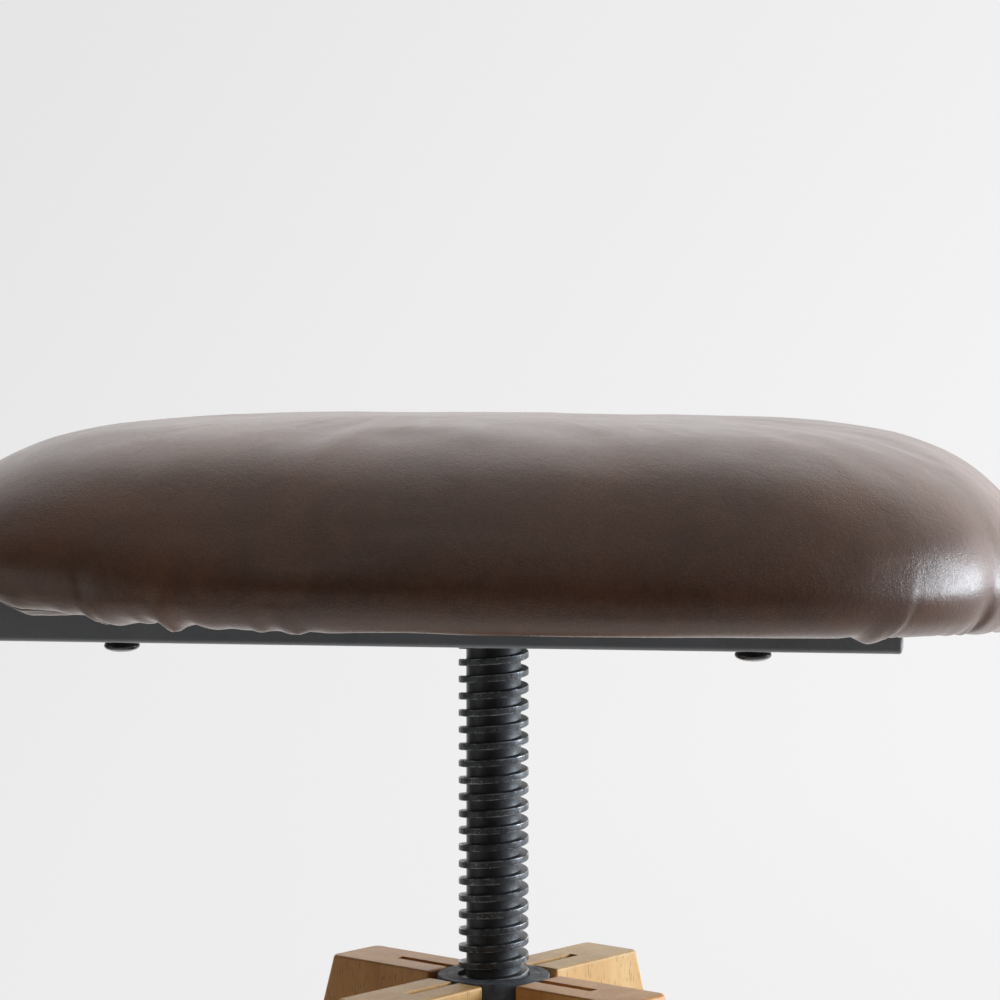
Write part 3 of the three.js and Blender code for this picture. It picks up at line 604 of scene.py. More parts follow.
LEG_EDGE = 0.9
LEG_OUTER_EDGE = 3
LEG_BOLT_FROM_AXIS = 33
LEG_BOLT_DROPS = {"upper": 26, "lower": 76}
BOLT_HOLE = 3.5
HALF_SLOT = 2
PILOT_HOLE = 2.3
GLIDE_HOLE = 3.3
TAB_HOLE = 2.4
HUB_TOP = TUBE_HIGH[2]
TUBE_RADIUS = TUBE_HIGH[0]
TUBE_BORE = 16.95
NUT_BORE = 12.85
LEG_STRAIGHT = 95
LEG_SPLAY = math.radians(17.5)
FOOT_WIDTH = 44
LEG_BEND = HUB_TOP - LEG_STRAIGHT
LEG_INNER = LEG_LOW[0]
FOOT_OUTER = LEG_HIGH[0]
FOOT_INNER = FOOT_OUTER - FOOT_WIDTH
FOOT_MIDDLE = (FOOT_INNER + FOOT_OUTER) / 2
FOOT_BOTTOM = LEG_LOW[2]
TOP_OUTER = FOOT_OUTER - (HUB_TOP - FOOT_BOTTOM) * math.tan(LEG_SPLAY)
INNER_SLOPE = math.atan2(FOOT_INNER - LEG_INNER, LEG_BEND - FOOT_BOTTOM)
HALF_PLANK = LEG_HIGH[1]
HEAD_GAP = 0.3
RING_HEIGHT = 135
RING_BAR = 6
TAB_LENGTH = (-9, 23)
TAB_HALF_WIDTH = 12
TAB_LEVELS = (0.3, 3.3)
TAB_SCREW = 15
TAB_BEAD = (3.9, 9, 4)  # off the tab's middle, half length, height


def leg_inner(z):
    return LEG_INNER + (LEG_BEND - z) * math.tan(INNER_SLOPE)


ON_INNER_EDGE = Matrix.Translation((leg_inner(RING_HEIGHT), 0, RING_HEIGHT)) @ turned(
    -math.pi / 2 - INNER_SLOPE, "Y"
)


def leg_bolt_holes(half_length, sides):
    hole = moved(rod(BOLT_HOLE, -half_length, half_length, sides), TO_PLUS_Y)
    return [shifted(hole, LEG_BOLT_FROM_AXIS, 0, HUB_TOP - drop) for drop in LEG_BOLT_DROPS.values()]


def leg_shape():
    """A plank with two angles, slotted for its fin, with all its holes."""
    side = [(LEG_INNER, HUB_TOP), (LEG_INNER, LEG_BEND), (FOOT_INNER, FOOT_BOTTOM)]
    side += [(FOOT_OUTER, FOOT_BOTTOM), (TOP_OUTER, HUB_TOP)]
    plank = moved(prism(side, -HALF_PLANK, HALF_PLANK), TO_MINUS_Y)

    def outer(edge):
        along = edge.verts[0].co - edge.verts[1].co
        return abs(along.y) < 1 and abs(along.z) > 100 and min(v.co.x for v in edge.verts) > TOP_OUTER - 1

    plank = bevelled(plank, LEG_OUTER_EDGE, 6, chosen=outer)
    plank = bevelled(plank, LEG_EDGE, 3, 25)
    slot = block((0, -HALF_SLOT, FIN_LOW[2] - 3), (FIN_HIGH[0] + 1, HALF_SLOT, HUB_TOP + 5))
    pilot = moved(shifted(rod(PILOT_HOLE, -19, 2, 20), TAB_SCREW), ON_INNER_EDGE)
    glide_hole = shifted(rod(GLIDE_HOLE, FOOT_BOTTOM - 2, FOOT_BOTTOM + 12, 20), FOOT_MIDDLE)
    return cut(plank, slot, *leg_bolt_holes(20, 32), pilot, glide_hole)


def leg_bolt_shape(z):
    """A button head with a hexagon socket on +Y, and its shank through the leg."""
    reach = 2 * HALF_PLANK + 7
    shank = [(0, -reach), (3, -reach), (3, 0)]
    bolt = headed(shank, [(5.5, 0), (5.5, 0.9), (4.4, 2.8), (0, 3.4)], 0.8, 48)
    bolt = cut(bolt, prism(regular(2.2), 1.3, 5))
    return shifted(moved(bolt, TO_PLUS_Y), LEG_BOLT_FROM_AXIS, HALF_PLANK + HEAD_GAP, z)


def leg_nut_shape(z):
    """A domed cap nut on -Y."""
    hexagon = bevelled(prism(regular(6), 0, 5), 0.45, 2)
    dome = lathe(eased([(0, 4), (4.8, 4), (4.8, 7.2), (3.7, 9.4), (0, 10.4)], 1.6, 6), 48)
    nut = cut(joined(hexagon, dome), rod(3.55, -1, 8))
    return shifted(moved(nut, TO_MINUS_Y), LEG_BOLT_FROM_AXIS, -HALF_PLANK - HEAD_GAP, z)


def glide_shape():
    profile = [(0, 0), (8.6, 0), (10, 1.4), (10, 5.7), (3, 5.7), (3, 16), (0, 16)]
    return shifted(lathe(eased(profile, 0.7, 4), 56), FOOT_MIDDLE)


def ring_screw_shape():
    """A wood screw with a cross recess, through a tab into the leg's inner edge."""
    top = TAB_LEVELS[1] + 0.3
    screw = headed([(0, -18), (2, top - 8), (2, top)], [(4, top), (3.6, top + 1.5), (0, top + 2.4)], 0.7, 40)
    low, high = top + 1.1, top + 4
    bars = [block((-x, -y, low), (x, y, high)) for x, y in ((1.9, 0.35), (0.35, 1.9))]
    return moved(shifted(cut(screw, joined(*bars)), TAB_SCREW), ON_INNER_EDGE)


def ring_shape():
    """The footrest: a bent round bar, and a tab with two weld beads at each leg."""
    centre = leg_inner(RING_HEIGHT) - TAB_LEVELS[1] / math.cos(INNER_SLOPE) + 1 - RING_BAR
    circle = [(centre + x, RING_HEIGHT + z) for x, z in regular(RING_BAR, 28)]
    corners = rectangle((TAB_LENGTH[0], -TAB_HALF_WIDTH), (TAB_LENGTH[1], TAB_HALF_WIDTH))
    tab = bevelled(prism(eased(corners, 5, 6, True), *TAB_LEVELS), 0.45, 2, 60)
    tab = cut(tab, shifted(rod(TAB_HOLE, -2, 8, 24), TAB_SCREW))
    off, half, lift = TAB_BEAD
    tab = joined(tab, *(straight_bead((x, -half, lift), (x, half, lift), 1.7) for x in (-off, off)))
    tab = moved(tab, ON_INNER_EDGE)
    return joined(lathe(circle, 192, closed=True), *(moved(tab, turned(turn)) for turn in LEG_TURNS))


def cap_shape():
    """A plastic cap that closes the hub tube from below: a disc and a ring inside the tube."""
    low, edge, disc_top = CAP_LOW[2], TUBE_LOW[2] - 0.3, TUBE_LOW[2] + 1
    disc = [(0, low), (TUBE_RADIUS - 1, low), (TUBE_RADIUS, edge), (16.7, edge)]
    ring = [(16.7, CAP_HIGH[2]), (14.2, CAP_HIGH[2]), (14.2, disc_top), (0, disc_top)]
    return lathe(eased(disc + ring, 0.8, 3), 96)


def fin_shape():
    return cut(bevelled(block(FIN_LOW, FIN_HIGH), 0.35, 2), *leg_bolt_holes(5, 24))


def build_base():
    tube = sleeve(TUBE_BORE, TUBE_RADIUS, TUBE_LOW[2], HUB_TOP, 0.3)
    finer("hub_tube", tube, BLACK_STEEL, "base", 0)
    nut = sleeve(NUT_BORE, TUBE_BORE - 0.04, NUT_LEVEL, HUB_TOP - 0.02, 0.2)
    finer("screw_nut", nut, BLACK_STEEL, "base", 0)
    finer("hub_cap", cap_shape(), BLACK_PLASTIC, "base", 0)
    plank = leg_shape()
    at_each_leg = {
        "hub_fin": (fin_shape(), BLACK_STEEL),
        "foot_glide": (glide_shape(), NYLON),
        "ring_screw": (ring_screw_shape(), BOLT),
    }
    for place, drop in LEG_BOLT_DROPS.items():
        at_each_leg[f"leg_bolt_{place}"] = leg_bolt_shape(HUB_TOP - drop), BOLT
        at_each_leg[f"leg_nut_{place}"] = leg_nut_shape(HUB_TOP - drop), BOLT
    for n, turn in enumerate(LEG_TURNS, 1):
        piece(f"leg_{n}_wood", plank, WOODS[n - 1], [f"leg_{n}"], "base", turn)
        for part, (shape, look) in at_each_leg.items():
            finer(f"{part}_{n}", shape, look, "base", turn)
    finer("footrest_ring", ring_shape(), PAINT, "base", 0)


# ---- the screw

RIDGE_EASE = 0.22
SPIGOT_RADIUS = 8
NECK_RADIUS = 8.95
COLLAR = 0.6  # how much the screw's two ends taper
THREAD_GAP = 0.3  # above the guide bush and below the plate
COLUMNS = 96
# The lower half of one pitch of the thread as (radius, height from the ridge's middle)
RIDGE_FOOT = [
    (CORE_RADIUS, -HALF_RIDGE - RIDGE_EASE),
    (CORE_RADIUS + RIDGE_EASE, -HALF_RIDGE - 0.03),
    (CREST_RADIUS - RIDGE_EASE, -HALF_RIDGE),
    (CREST_RADIUS, -HALF_RIDGE + RIDGE_EASE),
]
RIDGE = [(CORE_RADIUS, -PITCH / 2), *RIDGE_FOOT, *((radius, -z) for radius, z in reversed(RIDGE_FOOT))]
PER_TURN = len(RIDGE)


def thread_line(column, first_ridge, low, high, rows):
    """One upright line of points along the thread as (radius, height), cut off flat at low and at high."""
    radii = [radius for radius, _ in RIDGE] + [CORE_RADIUS]
    levels = [z for _, z in RIDGE] + [PITCH / 2]
    first_turn = math.floor((low - first_ridge) / PITCH) - 2
    lead = first_ridge + PITCH * (first_turn + column / COLUMNS)
    line = []
    for row in range(rows):
        turn, k = divmod(row, PER_TURN)
        radius, rise = RIDGE[k]
        z = min(max(lead + turn * PITCH + rise, low), high)
        if z in (low, high):
            within = (z - lead + PITCH / 2) % PITCH - PITCH / 2
            radius = float(np.interp(within, levels, radii))
        line.append((radius, z))
    return line


def screw_shape(first_ridge, low, high):
    """A rod with one square right-hand ridge between the heights low and high, a spigot below it and a neck
    above it. first_ridge is a height where the ridge's middle passes angle 0."""
    foot, top, spigot, neck = SCREW_LOW[2], SCREW_HIGH[2], SPIGOT_RADIUS, NECK_RADIUS
    below = [(0, foot), (spigot - COLLAR, foot), (spigot, foot + COLLAR), (spigot, low)]
    above = [(neck, high), (neck, top - COLLAR), (neck - COLLAR, top), (0, top)]
    rows = PER_TURN * (math.ceil((high - low) / PITCH) + 4)
    height = len(below) + rows + len(above)
    points, faces = [], []
    for column in range(COLUMNS):
        angle = 2 * math.pi * column / COLUMNS
        line = below + thread_line(column, first_ridge, low, high, rows) + above
        points += [(radius * math.cos(angle), radius * math.sin(angle), z) for radius, z in line]

    def upwards(column, raised):
        """The indices up one line of points, with the rows of its thread moved up by raised."""
        last = len(below) + rows - 1
        thread = [min(max(row + raised, len(below)), last) for row in range(len(below) - PER_TURN, last + 2)]
        return [column * height + row for row in (*range(len(below)), *thread, *range(last + 1, height))]

    for column in range(COLUMNS):
        after = (column + 1) % COLUMNS
        left, right = upwards(column, 0), upwards(after, 0 if after else PER_TURN)
        faces += zip(left, right, right[1:], left[1:])
    return merged(points, faces)


def merged(points, faces, within=1e-4):
    """Points that share a place become one, and faces that lose their area go."""
    keys, index, kept = {}, [], []
    for p in points:
        key = tuple(round(c / within) for c in p)
        if key not in keys:
            keys[key] = len(kept)
            kept.append(p)
        index.append(keys[key])
    whole = [list(dict.fromkeys(index[i] for i in face)) for face in faces]
    return kept, [face for face in whole if len(face) > 2]


def build_screw():
    low = GUIDE_TOP + THREAD_GAP
    turns = math.floor((PLATE_LOW[2] - THREAD_GAP - low) / PITCH)
    first_ridge = low + PITCH / 2
    shape = screw_shape(first_ridge, low, low + turns * PITCH)
    finer("screw", shape, thread_look(first_ridge - PITCH * SEAT_TURN / (2 * math.pi)), sharp=70)


# ---- the seat frame

RAIL_CORNER = 1.6
RAIL_WALL = 1.5
RAIL_BOLT_X = (RAIL_BOLT_LOW[0] + RAIL_BOLT_HIGH[0]) / 2
HALF_RAIL = (RAIL_HIGH[2] - RAIL_LOW[2]) / 2
RAIL_MIDDLE = (RAIL_LOW[1] + RAIL_HIGH[1]) / 2
RAIL_LEVEL = (RAIL_LOW[2] + RAIL_HIGH[2]) / 2
PLUG_FLANGE = 2
PLATE_THICKNESS = 5
BOSS_RADIUS = 19
BOSS_HOLE = 9.5
PLATE_WELDS = ((-50, -20), (20, 50))  # where they start and end along each rail


def rail_shape():
    half = PLUG_HIGH[0] - PLUG_FLANGE - 0.06
    outer, inner = square(HALF_RAIL, RAIL_CORNER), square(HALF_RAIL - RAIL_WALL, 0.8)
    tube = cut(prism(outer, -half, half), prism(inner, -half - 1, half + 1))
    holes = [shifted(rod(BOLT_HOLE, -20, 20), x) for x in (-RAIL_BOLT_X, RAIL_BOLT_X)]
    return cut(moved(tube, TO_PLUS_X), *holes)


def plug_shape():
    """The plug in the +X end of a rail: a thin flange and the stub inside the tube."""
    face = PLUG_HIGH[0] - PLUG_FLANGE
    flange = prism(square(HALF_RAIL, RAIL_CORNER), face - 0.05, PLUG_HIGH[0])
    flange = bevelled(flange, 0.9, 4, 60, lambda edge: all(v.co.z > face + 1 for v in edge.verts))
    inside = HALF_RAIL - 1.8
    stub = bevelled(block((-inside, -inside, PLUG_LOW[0]), (inside, inside, face + 0.5)), 0.6, 2)
    return moved(joined(flange, stub), TO_PLUS_X)


def rail_bolt_shape():
    """A wide round head under the rail, with a hexagon socket, and its shank up into the board."""
    low, end, top = RAIL_BOLT_LOW[2], RAIL_BOLT_HIGH[2], RAIL_LOW[2] - 0.1
    head = [(0, low), (3.4, low + 0.25), (5.3, low + 1.1), (5.9, low + 2), (5.2, top)]
    profile = eased(head, 1, 5) + [(3, top), (3, end), (0, end)]
    return cut(lathe(profile, 64), prism(regular(2), low - 2, low + 1.6))


def plate_shape():
    """The plate across the rails, its boss round the screw's neck, and the welds that hold them."""
    under = PLATE_HIGH[2] - PLATE_THICKNESS
    plate = bevelled(block((*PLATE_LOW[:2], under), PLATE_HIGH), 0.6, 3)
    boss = sleeve(BOSS_HOLE, BOSS_RADIUS, PLATE_LOW[2], under + 0.5, 0.8, 4, 96)
    plate = cut(plate, rod(BOSS_HOLE, under - 5, PLATE_HIGH[2] + 5, 96))
    circle = regular(BOSS_RADIUS + 0.6, 110)
    welds = [bead([(x, y, under - 0.4) for x, y in circle + circle[:1]], 1.8)]
    for y in (-PLATE_HIGH[1] - 0.1, PLATE_HIGH[1] + 0.1):
        welds += [straight_bead((a, y, under - 0.3), (b, y, under - 0.3), 1.9) for a, b in PLATE_WELDS]
    return joined(plate, boss, *welds)


def build_seat_frame():
    rail, plug, bolt = rail_shape(), plug_shape(), rail_bolt_shape()
    plugs = {"left": moved(plug, turned(math.pi)), "right": plug}
    for place, y in (("front", RAIL_MIDDLE), ("rear", -RAIL_MIDDLE)):
        finer(f"{place}_rail", shifted(rail, 0, y, RAIL_LEVEL), PAINT)
        for side, shape in plugs.items():
            finer(f"{place}_rail_plug_{side}", shifted(shape, 0, y, RAIL_LEVEL), PLUG)
        for side, x in (("left", -RAIL_BOLT_X), ("right", RAIL_BOLT_X)):
            finer(f"rail_bolt_{place}_{side}", shifted(bolt, x, y), BOLT)
    finer("mount_plate", plate_shape(), PAINT)


# ---- the seat pad

SEAT_POWER = 3.6
# The leather's outer surface as (inset from the outline, drop below the top, steps to the next point)
SECTION = [
    (180, 0.8, 3),
    (150, 1, 3),
    (112, 1.7, 3),
    (82, 3.1, 3),
    (58, 5.7, 4),
    (39, 10.2, 4),
    (23, 17.7, 5),
    (11, 27.9, 6),
    (3.5, 39, 7),
    (0, 50, 8),
    (1, 58, 8),
    (4, 62.8, 8),
    (8, 64.8, 7),
    (12, 64.2, 4),
    (14.6, 61, 3),
    (16.2, 58.2, 2),
    (19.5, 57.4, 3),
    (26, 57.4, 3),
    (34, 57.4, 0),
]
LEATHER_THICKNESS = 1.2
FLAP_HEIGHT = -6  # from here down the leather lies flat under the board
CROWN_DEPTH = 30  # and this far below the top it lies over the foam
PAD_COLUMNS = 1080
# The pad was pulled a little to one side, its top more than its lip, and up at one end when it was covered.
PAD_SHIFT = 2.5
PAD_LEAN = 2.2
PAD_STRETCH = 1.012
PAD_TILT = math.radians(0.4)
# Where the lip rises or hangs: (angle in the seat's frame in degrees, half width in degrees, rise in mm)
LIP_RISES = [
    (226, 17, 6.3),
    (318, 15, -1.9),
    (338, 9, -4.6),
    (45, 13, -0.8),
    (137, 12, 2.2),
]
# Where the lip's own edge waves along the front: (angle in degrees, half width in degrees, how much lower in
# mm). A wave dies out upwards.
LIP_WAVES = [
    (227.5, 2.2, -1.9),
    (234, 2.4, 1.2),
    (238.3, 1, 0.6),
    (241.3, 1, 2.3),
    (244, 2, -1),
    (246, 0.6, -1),
    (256, 0.7, 0.8),
    (259.3, 0.9, 2),
    (264, 4, 0.5),
    (286, 14, 0.6),
    (311, 0.8, 0.8),
    (312.2, 0.6, -1),
    (320.5, 2, 0.6),
    (323, 0.8, 3.2),
    (325.5, 1.4, 0.9),
]
LIP_WAVE_REACH = 9
# Folds at the lip: (angle in degrees, half width, drop, height it reaches, lean, slant). A positive lean puts
# the steep side at larger angles, and a positive slant carries the fold to larger angles as it climbs. A
# negative drop is a crease.
FOLDS = [
    (232.5, 5, 1, 7, 0.3, 0.6),
    (238.3, 3, -3, 7, 0, -7),
    (241.4, 1.6, -1.6, 10, -0.4, -0.15),
    (242.9, 6.2, 2.2, 8, -0.3, 0),
    (245.6, 3, 1, 5, 0, 0),
    (247.7, 2.3, 2.5, 6.5, -0.3, 0.1),
    (250, 2, -0.9, 4, 0, 0),
    (251.8, 4.2, 0.8, 4, 0, 0),
    (254.6, 2.6, 0.5, 4, 0.3, 0),
    (257, 4.5, 0.5, 4, 0, 0),
    (259.2, 1.8, -0.7, 3, 0, 0),
    (262.5, 5, 0.35, 4, 0, 0),
    (276, 9, 0.25, 5, 0, 0),
    (309.6, 2.6, -0.7, 3.5, 0, 0),
    (312, 2, 2.3, 8, 0.7, 0.25),
    (314, 1, -0.3, 4, 0, 0.25),
    (319.4, 2.2, -0.8, 3, 0, 0),
    (323, 2.9, -2.8, 16, 0.3, 0.3),
    (327.6, 6, 1.3, 13, 0, 0.4),
    (336, 5, 0.7, 6, 0, 0.5),
]
# The gathers at the two far corners, as offsets from the corner
GATHERS = [
    (-19, 2.4, 2, 8, 0.3, 0),
    (-15.5, 1.8, -1.1, 6, 0, 0.2),
    (-12.5, 5.5, 1.5, 9, -0.3, 0),
    (-6.5, 2.3, 1.6, 9, 0.3, 0.5),
    (-2.5, 1.7, -1.3, 13, 0, 0.9),
    (2, 6, 1.2, 13, 0, 0.8),
    (7.5, 2.4, 1.9, 10, -0.4, 0),
    (11.5, 1.9, -1, 7, 0, 0),
    (15, 4.5, 1.1, 7, 0, 0),
    (20.5, 2.2, 1, 5, 0.2, 0),
]
CORNER_HALF_WIDTH = np.radians(34)
CORNER_DENSITY = 3
LUMPS = [(0.8, 0.018), (0.25, 0.06)]  # (size in mm, waves per mm)
# Heights on the skin where each begins, and over how many mm it grows to the full
UNEVEN_FROM = (-2, 12)
SHIFT_FROM = (-30, 30)
LEAN_FROM = (5, 30)
RISE_REACH = 26  # how far up the skin a rise of the lip is felt
RISE_UNDER = 5  # and how far in under the seat
FOLD_UNDER = 14  # how far in under the seat a fold runs
FOLD_SPREAD = 0.05  # how much wider a fold gets with each millimetre up
SWELL_SKIP = 6  # the coarse copy has one in so many columns
SWELL_VOXEL = 0.006  # in metres
SWELL_HELD = 56  # held from this far below the top
SWELL_FRAMES = 20
SWELL_LIMIT = 0.9


def curved(points, steps):
    """A Catmull-Rom line through the points, with that many steps in each span."""
    points = np.array(points, float)
    line = []
    for i in range(len(points) - 1):
        p0, p1 = points[max(i - 1, 0)], points[i]
        p2, p3 = points[i + 1], points[min(i + 2, len(points) - 1)]
        for k in range(steps[i]):
            t = k / steps[i]
            cubic = (3 * p1 - p0 - 3 * p2 + p3) * t**3
            line.append(0.5 * (2 * p1 + (p2 - p0) * t + (2 * p0 - 5 * p1 + 4 * p2 - p3) * t**2 + cubic))
    line.append(points[-1])
    return np.array(line)


def outline(angle, inset=0):
    """x and y on the seat's rounded square outline, moved in by inset, at an angle in the seat's frame."""
    c, s = np.cos(angle), np.sin(angle)
    radius = (SEAT_HALF - inset) * (np.abs(c) ** SEAT_POWER + np.abs(s) ** SEAT_POWER) ** (-1 / SEAT_POWER)
    return radius * c, radius * s


ROUND_ANGLES = np.linspace(0, 2 * np.pi, 7201)
ROUND_STEPS = np.hypot(*np.diff(outline(ROUND_ANGLES)))
ROUND_ARC = np.concatenate([[0], np.cumsum(ROUND_STEPS)])


def arc_at(angle):
    """Distance along the outline from angle 0, in mm."""
    return np.interp(np.mod(angle, 2 * np.pi), ROUND_ANGLES, ROUND_ARC)


def column_angles(count):
    """Angles of the pad's columns, closer together near the corners, where the leather is gathered."""
    middle = (ROUND_ANGLES[1:] + ROUND_ANGLES[:-1]) / 2
    from_corner = np.abs(middle % (np.pi / 2) - np.pi / 4)
    weight = ROUND_STEPS * np.where(from_corner < CORNER_HALF_WIDTH, CORNER_DENSITY, 1)
    total = np.concatenate([[0], np.cumsum(weight)])
    return np.interp(np.arange(count) * total[-1] / count, total, ROUND_ANGLES)


def all_folds():
    made = list(FOLDS)
    for corner, side in ((45, 1), (135, -1)):
        for offset, half_width, drop, reach, lean, slant in GATHERS:
            made.append((corner + side * offset, half_width, drop, reach, side * lean, side * slant))
    return made


def folded(arc, height):
    """How far the folds push the skin, by distance along the outline and height above the lip. Below the lip,
    height is negative and runs in under the seat."""
    total = ROUND_ARC[-1]
    push = np.zeros_like(arc)
    climb = np.maximum(height, 0)
    under = np.exp(np.minimum(height, 0) / FOLD_UNDER)
    for degrees, half_width, drop, reach, lean, slant in all_folds():
        away = (arc - arc_at(math.radians(degrees)) - slant * climb + total / 2) % total - total / 2
        wide = half_width * (1 + FOLD_SPREAD * climb) * (1 - lean * np.tanh(away / half_width))
        push += drop * np.exp(-np.abs(away / wide) ** 2) * np.exp(-climb / reach) * under
    return push


def bumps(angle, listed):
    """The sum of round bumps, each listed as (angle in degrees, half width, height)."""
    degrees = np.degrees(angle)
    total = np.zeros_like(degrees)
    for middle, half_width, height in listed:
        away = (degrees - middle + 180) % 360 - 180
        total += height * np.exp(-((away / half_width) ** 2))
    return total


def uneven(x, y, z):
    """Soft lumps of the foam, up to about half a millimetre."""
    lumps = [
        sum(size * noise.noise(Vector(p) * waves) for size, waves in LUMPS)
        for p in zip(x.ravel(), y.ravel(), z.ravel())
    ]
    return np.array(lumps).reshape(x.shape)


def share(height, start, run):
    """0 up to the height start, 1 from start + run on."""
    return np.clip((height - start) / run, 0, 1)


def pad_surface(angle):
    """The leather's outer side as rows of points from the top's middle to the flap's edge, and each row's
    height above the lip along the section."""
    line = curved([(inset, drop) for inset, drop, _ in SECTION], [steps for _, _, steps in SECTION])
    lip = int(np.argmax(line[:, 1]))
    along = np.concatenate([[0], np.cumsum(np.hypot(*np.diff(line, axis=0).T))])
    height = along[lip] - along
    tangent = np.gradient(line, axis=0)
    tangent /= np.linalg.norm(tangent, axis=1)[:, None]
    outward, downward = tangent[:, 1:], tangent[:, :1]
    grid_arc, up = np.meshgrid(arc_at(angle), height)
    push = folded(grid_arc, up)
    x, y = outline(angle, line[:, :1] - push * outward)
    near_lip = np.exp(-((up / RISE_REACH) ** 2)) * np.where(up < 0, np.exp(up / RISE_UNDER), 1)
    z = SEAT_TOP - (line[:, 1:] + push * downward) + bumps(angle, LIP_RISES) * near_lip
    z -= bumps(angle, LIP_WAVES) * np.exp(-((up / LIP_WAVE_REACH) ** 2))
    above = share(up, *UNEVEN_FROM)
    z = z - uneven(x, y, z) * above * downward - np.sin(PAD_TILT) * x * above
    x = x * PAD_STRETCH + PAD_SHIFT * share(up, *SHIFT_FROM) + PAD_LEAN * share(up, *LEAN_FROM)
    return x, y, z, height


def even_copy(grid):
    """An object of evenly spaced points over a grid of them."""
    rows, columns = grid.shape[:2]
    obj = linked("swelling", as_mesh("swelling", (grid.reshape(-1, 3), closed_faces(rows, columns)), MM))
    remesh = obj.modifiers.new("even", "REMESH")
    remesh.mode, remesh.voxel_size = "VOXEL", SWELL_VOXEL
    graph = bpy.context.evaluated_depsgraph_get()
    obj.data = bpy.data.meshes.new_from_object(obj.evaluated_get(graph))
    obj.modifiers.clear()
    return obj


def places(mesh):
    return np.array([v.co for v in mesh.vertices]) / MM


def settled(obj, start):
    """Where the points of obj stand after air pressure has filled it as cloth, held below SWELL_HELD."""
    held = obj.vertex_groups.new(name="held")
    held.add([i for i, p in enumerate(start) if p[2] < SEAT_TOP - SWELL_HELD], 1, "REPLACE")
    settings = obj.modifiers.new("cloth", "CLOTH").settings
    settings.quality = 6
    settings.tension_stiffness = settings.compression_stiffness = 40
    settings.shear_stiffness = 12
    settings.bending_stiffness = 4
    settings.use_pressure = True
    settings.uniform_pressure_force = 4
    settings.vertex_group_mass = "held"
    settings.effector_weights.gravity = 0
    scene = bpy.context.scene
    for frame_number in range(1, SWELL_FRAMES + 1):
        scene.frame_set(frame_number)
    end = places(obj.evaluated_get(bpy.context.evaluated_depsgraph_get()).data)
    scene.frame_set(1)
    return end


def swollen(x, y, z, height):
    """Lets air pressure settle a coarse copy of the pad as cloth, held along the lip and under the seat, and
    gives back how far each point of the pad moves along each axis because of it, in mm, apart from what moves
    a whole row alike."""
    rows = list(range(0, len(height), 2))
    grid = np.stack([x, y, z], -1)[rows][:, ::SWELL_SKIP]
    obj = even_copy(grid)
    start = places(obj.data)
    shift = settled(obj, start) - start
    bpy.data.objects.remove(obj)
    tree = KDTree(len(start))
    for i, p in enumerate(start):
        tree.insert(p, i)
    tree.balance()
    near = [[i for _, i, _ in tree.find_n(p, 6)] for p in grid.reshape(-1, 3)]
    found = shift[near].mean(axis=1).reshape(grid.shape)
    found -= found.mean(axis=1, keepdims=True)
    size = np.linalg.norm(found, axis=2, keepdims=True)
    found *= SWELL_LIMIT * np.tanh(size / SWELL_LIMIT) / np.maximum(size, 1e-6)
    every_row, every_column = np.arange(len(height)), np.arange(x.shape[1])
    columns = every_column[::SWELL_SKIP]
    moves = []
    for axis in range(3):
        coarse = found[..., axis]
        across = [np.interp(every_column, columns, row, period=x.shape[1]) for row in coarse]
        moves.append(np.stack([np.interp(every_row, rows, column) for column in np.transpose(across)], 1))
    return moves


def build_pad():
    x, y, z, height = pad_surface(column_angles(PAD_COLUMNS))
    fade = share(height, 2, 10)[:, None]
    x, y, z = (old + fade * move for old, move in zip((x, y, z), swollen(x, y, z, height)))
    rows = len(height)
    outer = np.stack([x, y, z], -1)
    # the inner side, a leather's thickness inside, from the flap's edge back up to the top
    keep = [r for r in range(rows - 1, -1, -1) if r % 3 == 0 or r == rows - 1]
    under = (height < FLAP_HEIGHT)[:, None]
    shrink = np.where(under, 1, 1 - LEATHER_THICKNESS / np.maximum(np.hypot(x, y), 5))
    lift = np.where(under, LEATHER_THICKNESS, np.where(z > SEAT_TOP - CROWN_DEPTH, -LEATHER_THICKNESS, 0))
    inner = np.stack([x * shrink, y * shrink, z + lift], -1)[keep]
    points = np.concatenate([outer, inner]).reshape(-1, 3)
    shape = points, closed_faces(rows + len(keep), PAD_COLUMNS)
    pad = piece("seat_leather", shape, LEATHER, ["leather_cover", "foam_pad"], sharp=80, even=False)


# ---- the dust cover and its staples

CLOTH_INSET = 26
CLOTH_ROWS = [178, 130, 90, 60, 45, 39, 36, 34, 31, 28, CLOTH_INSET]  # insets from the middle to the rim
CLOTH_THICKNESS = 0.6
RIM_DIP = 1.15
DIP_INSET = 39
DIP_WIDTH = 5
RIPPLE = (0.25, 9, 36)  # height, length and the inset where it ends
STAPLE_INSET = 30.5
STAPLE = (5.5, 0.6, 0.5)  # half length, half width and height
STAPLES = 44
STAPLE_ASKEW = 0.16
FIRST_STAPLE = 12


def build_dust_cover():
    """Spun cloth stapled over the leather's flap: flat above the rails, lower round its rim."""
    angle = ROUND_ANGLES[:-1:20]
    rows = []
    for inset in CLOTH_ROWS:
        x, y = outline(angle, inset)
        dip = np.clip((DIP_INSET - inset) / DIP_WIDTH, 0, 1)
        ripple = RIPPLE[0] * np.sin(arc_at(angle) / RIPPLE[1]) * (inset < RIPPLE[2])
        rows.append(np.stack([x, y, CLOTH_LEVEL + 0.05 - RIM_DIP * dip + ripple], -1))
    bottom = np.array(rows)
    top = bottom[::-1] + (0, 0, CLOTH_THICKNESS)
    faces = [face[::-1] for face in closed_faces(2 * len(rows), len(angle))]
    shape = np.concatenate([bottom, top]).reshape(-1, 3), faces
    cloth = piece("dust_cloth", shape, CLOTH, ["dust_cover"], even=False)


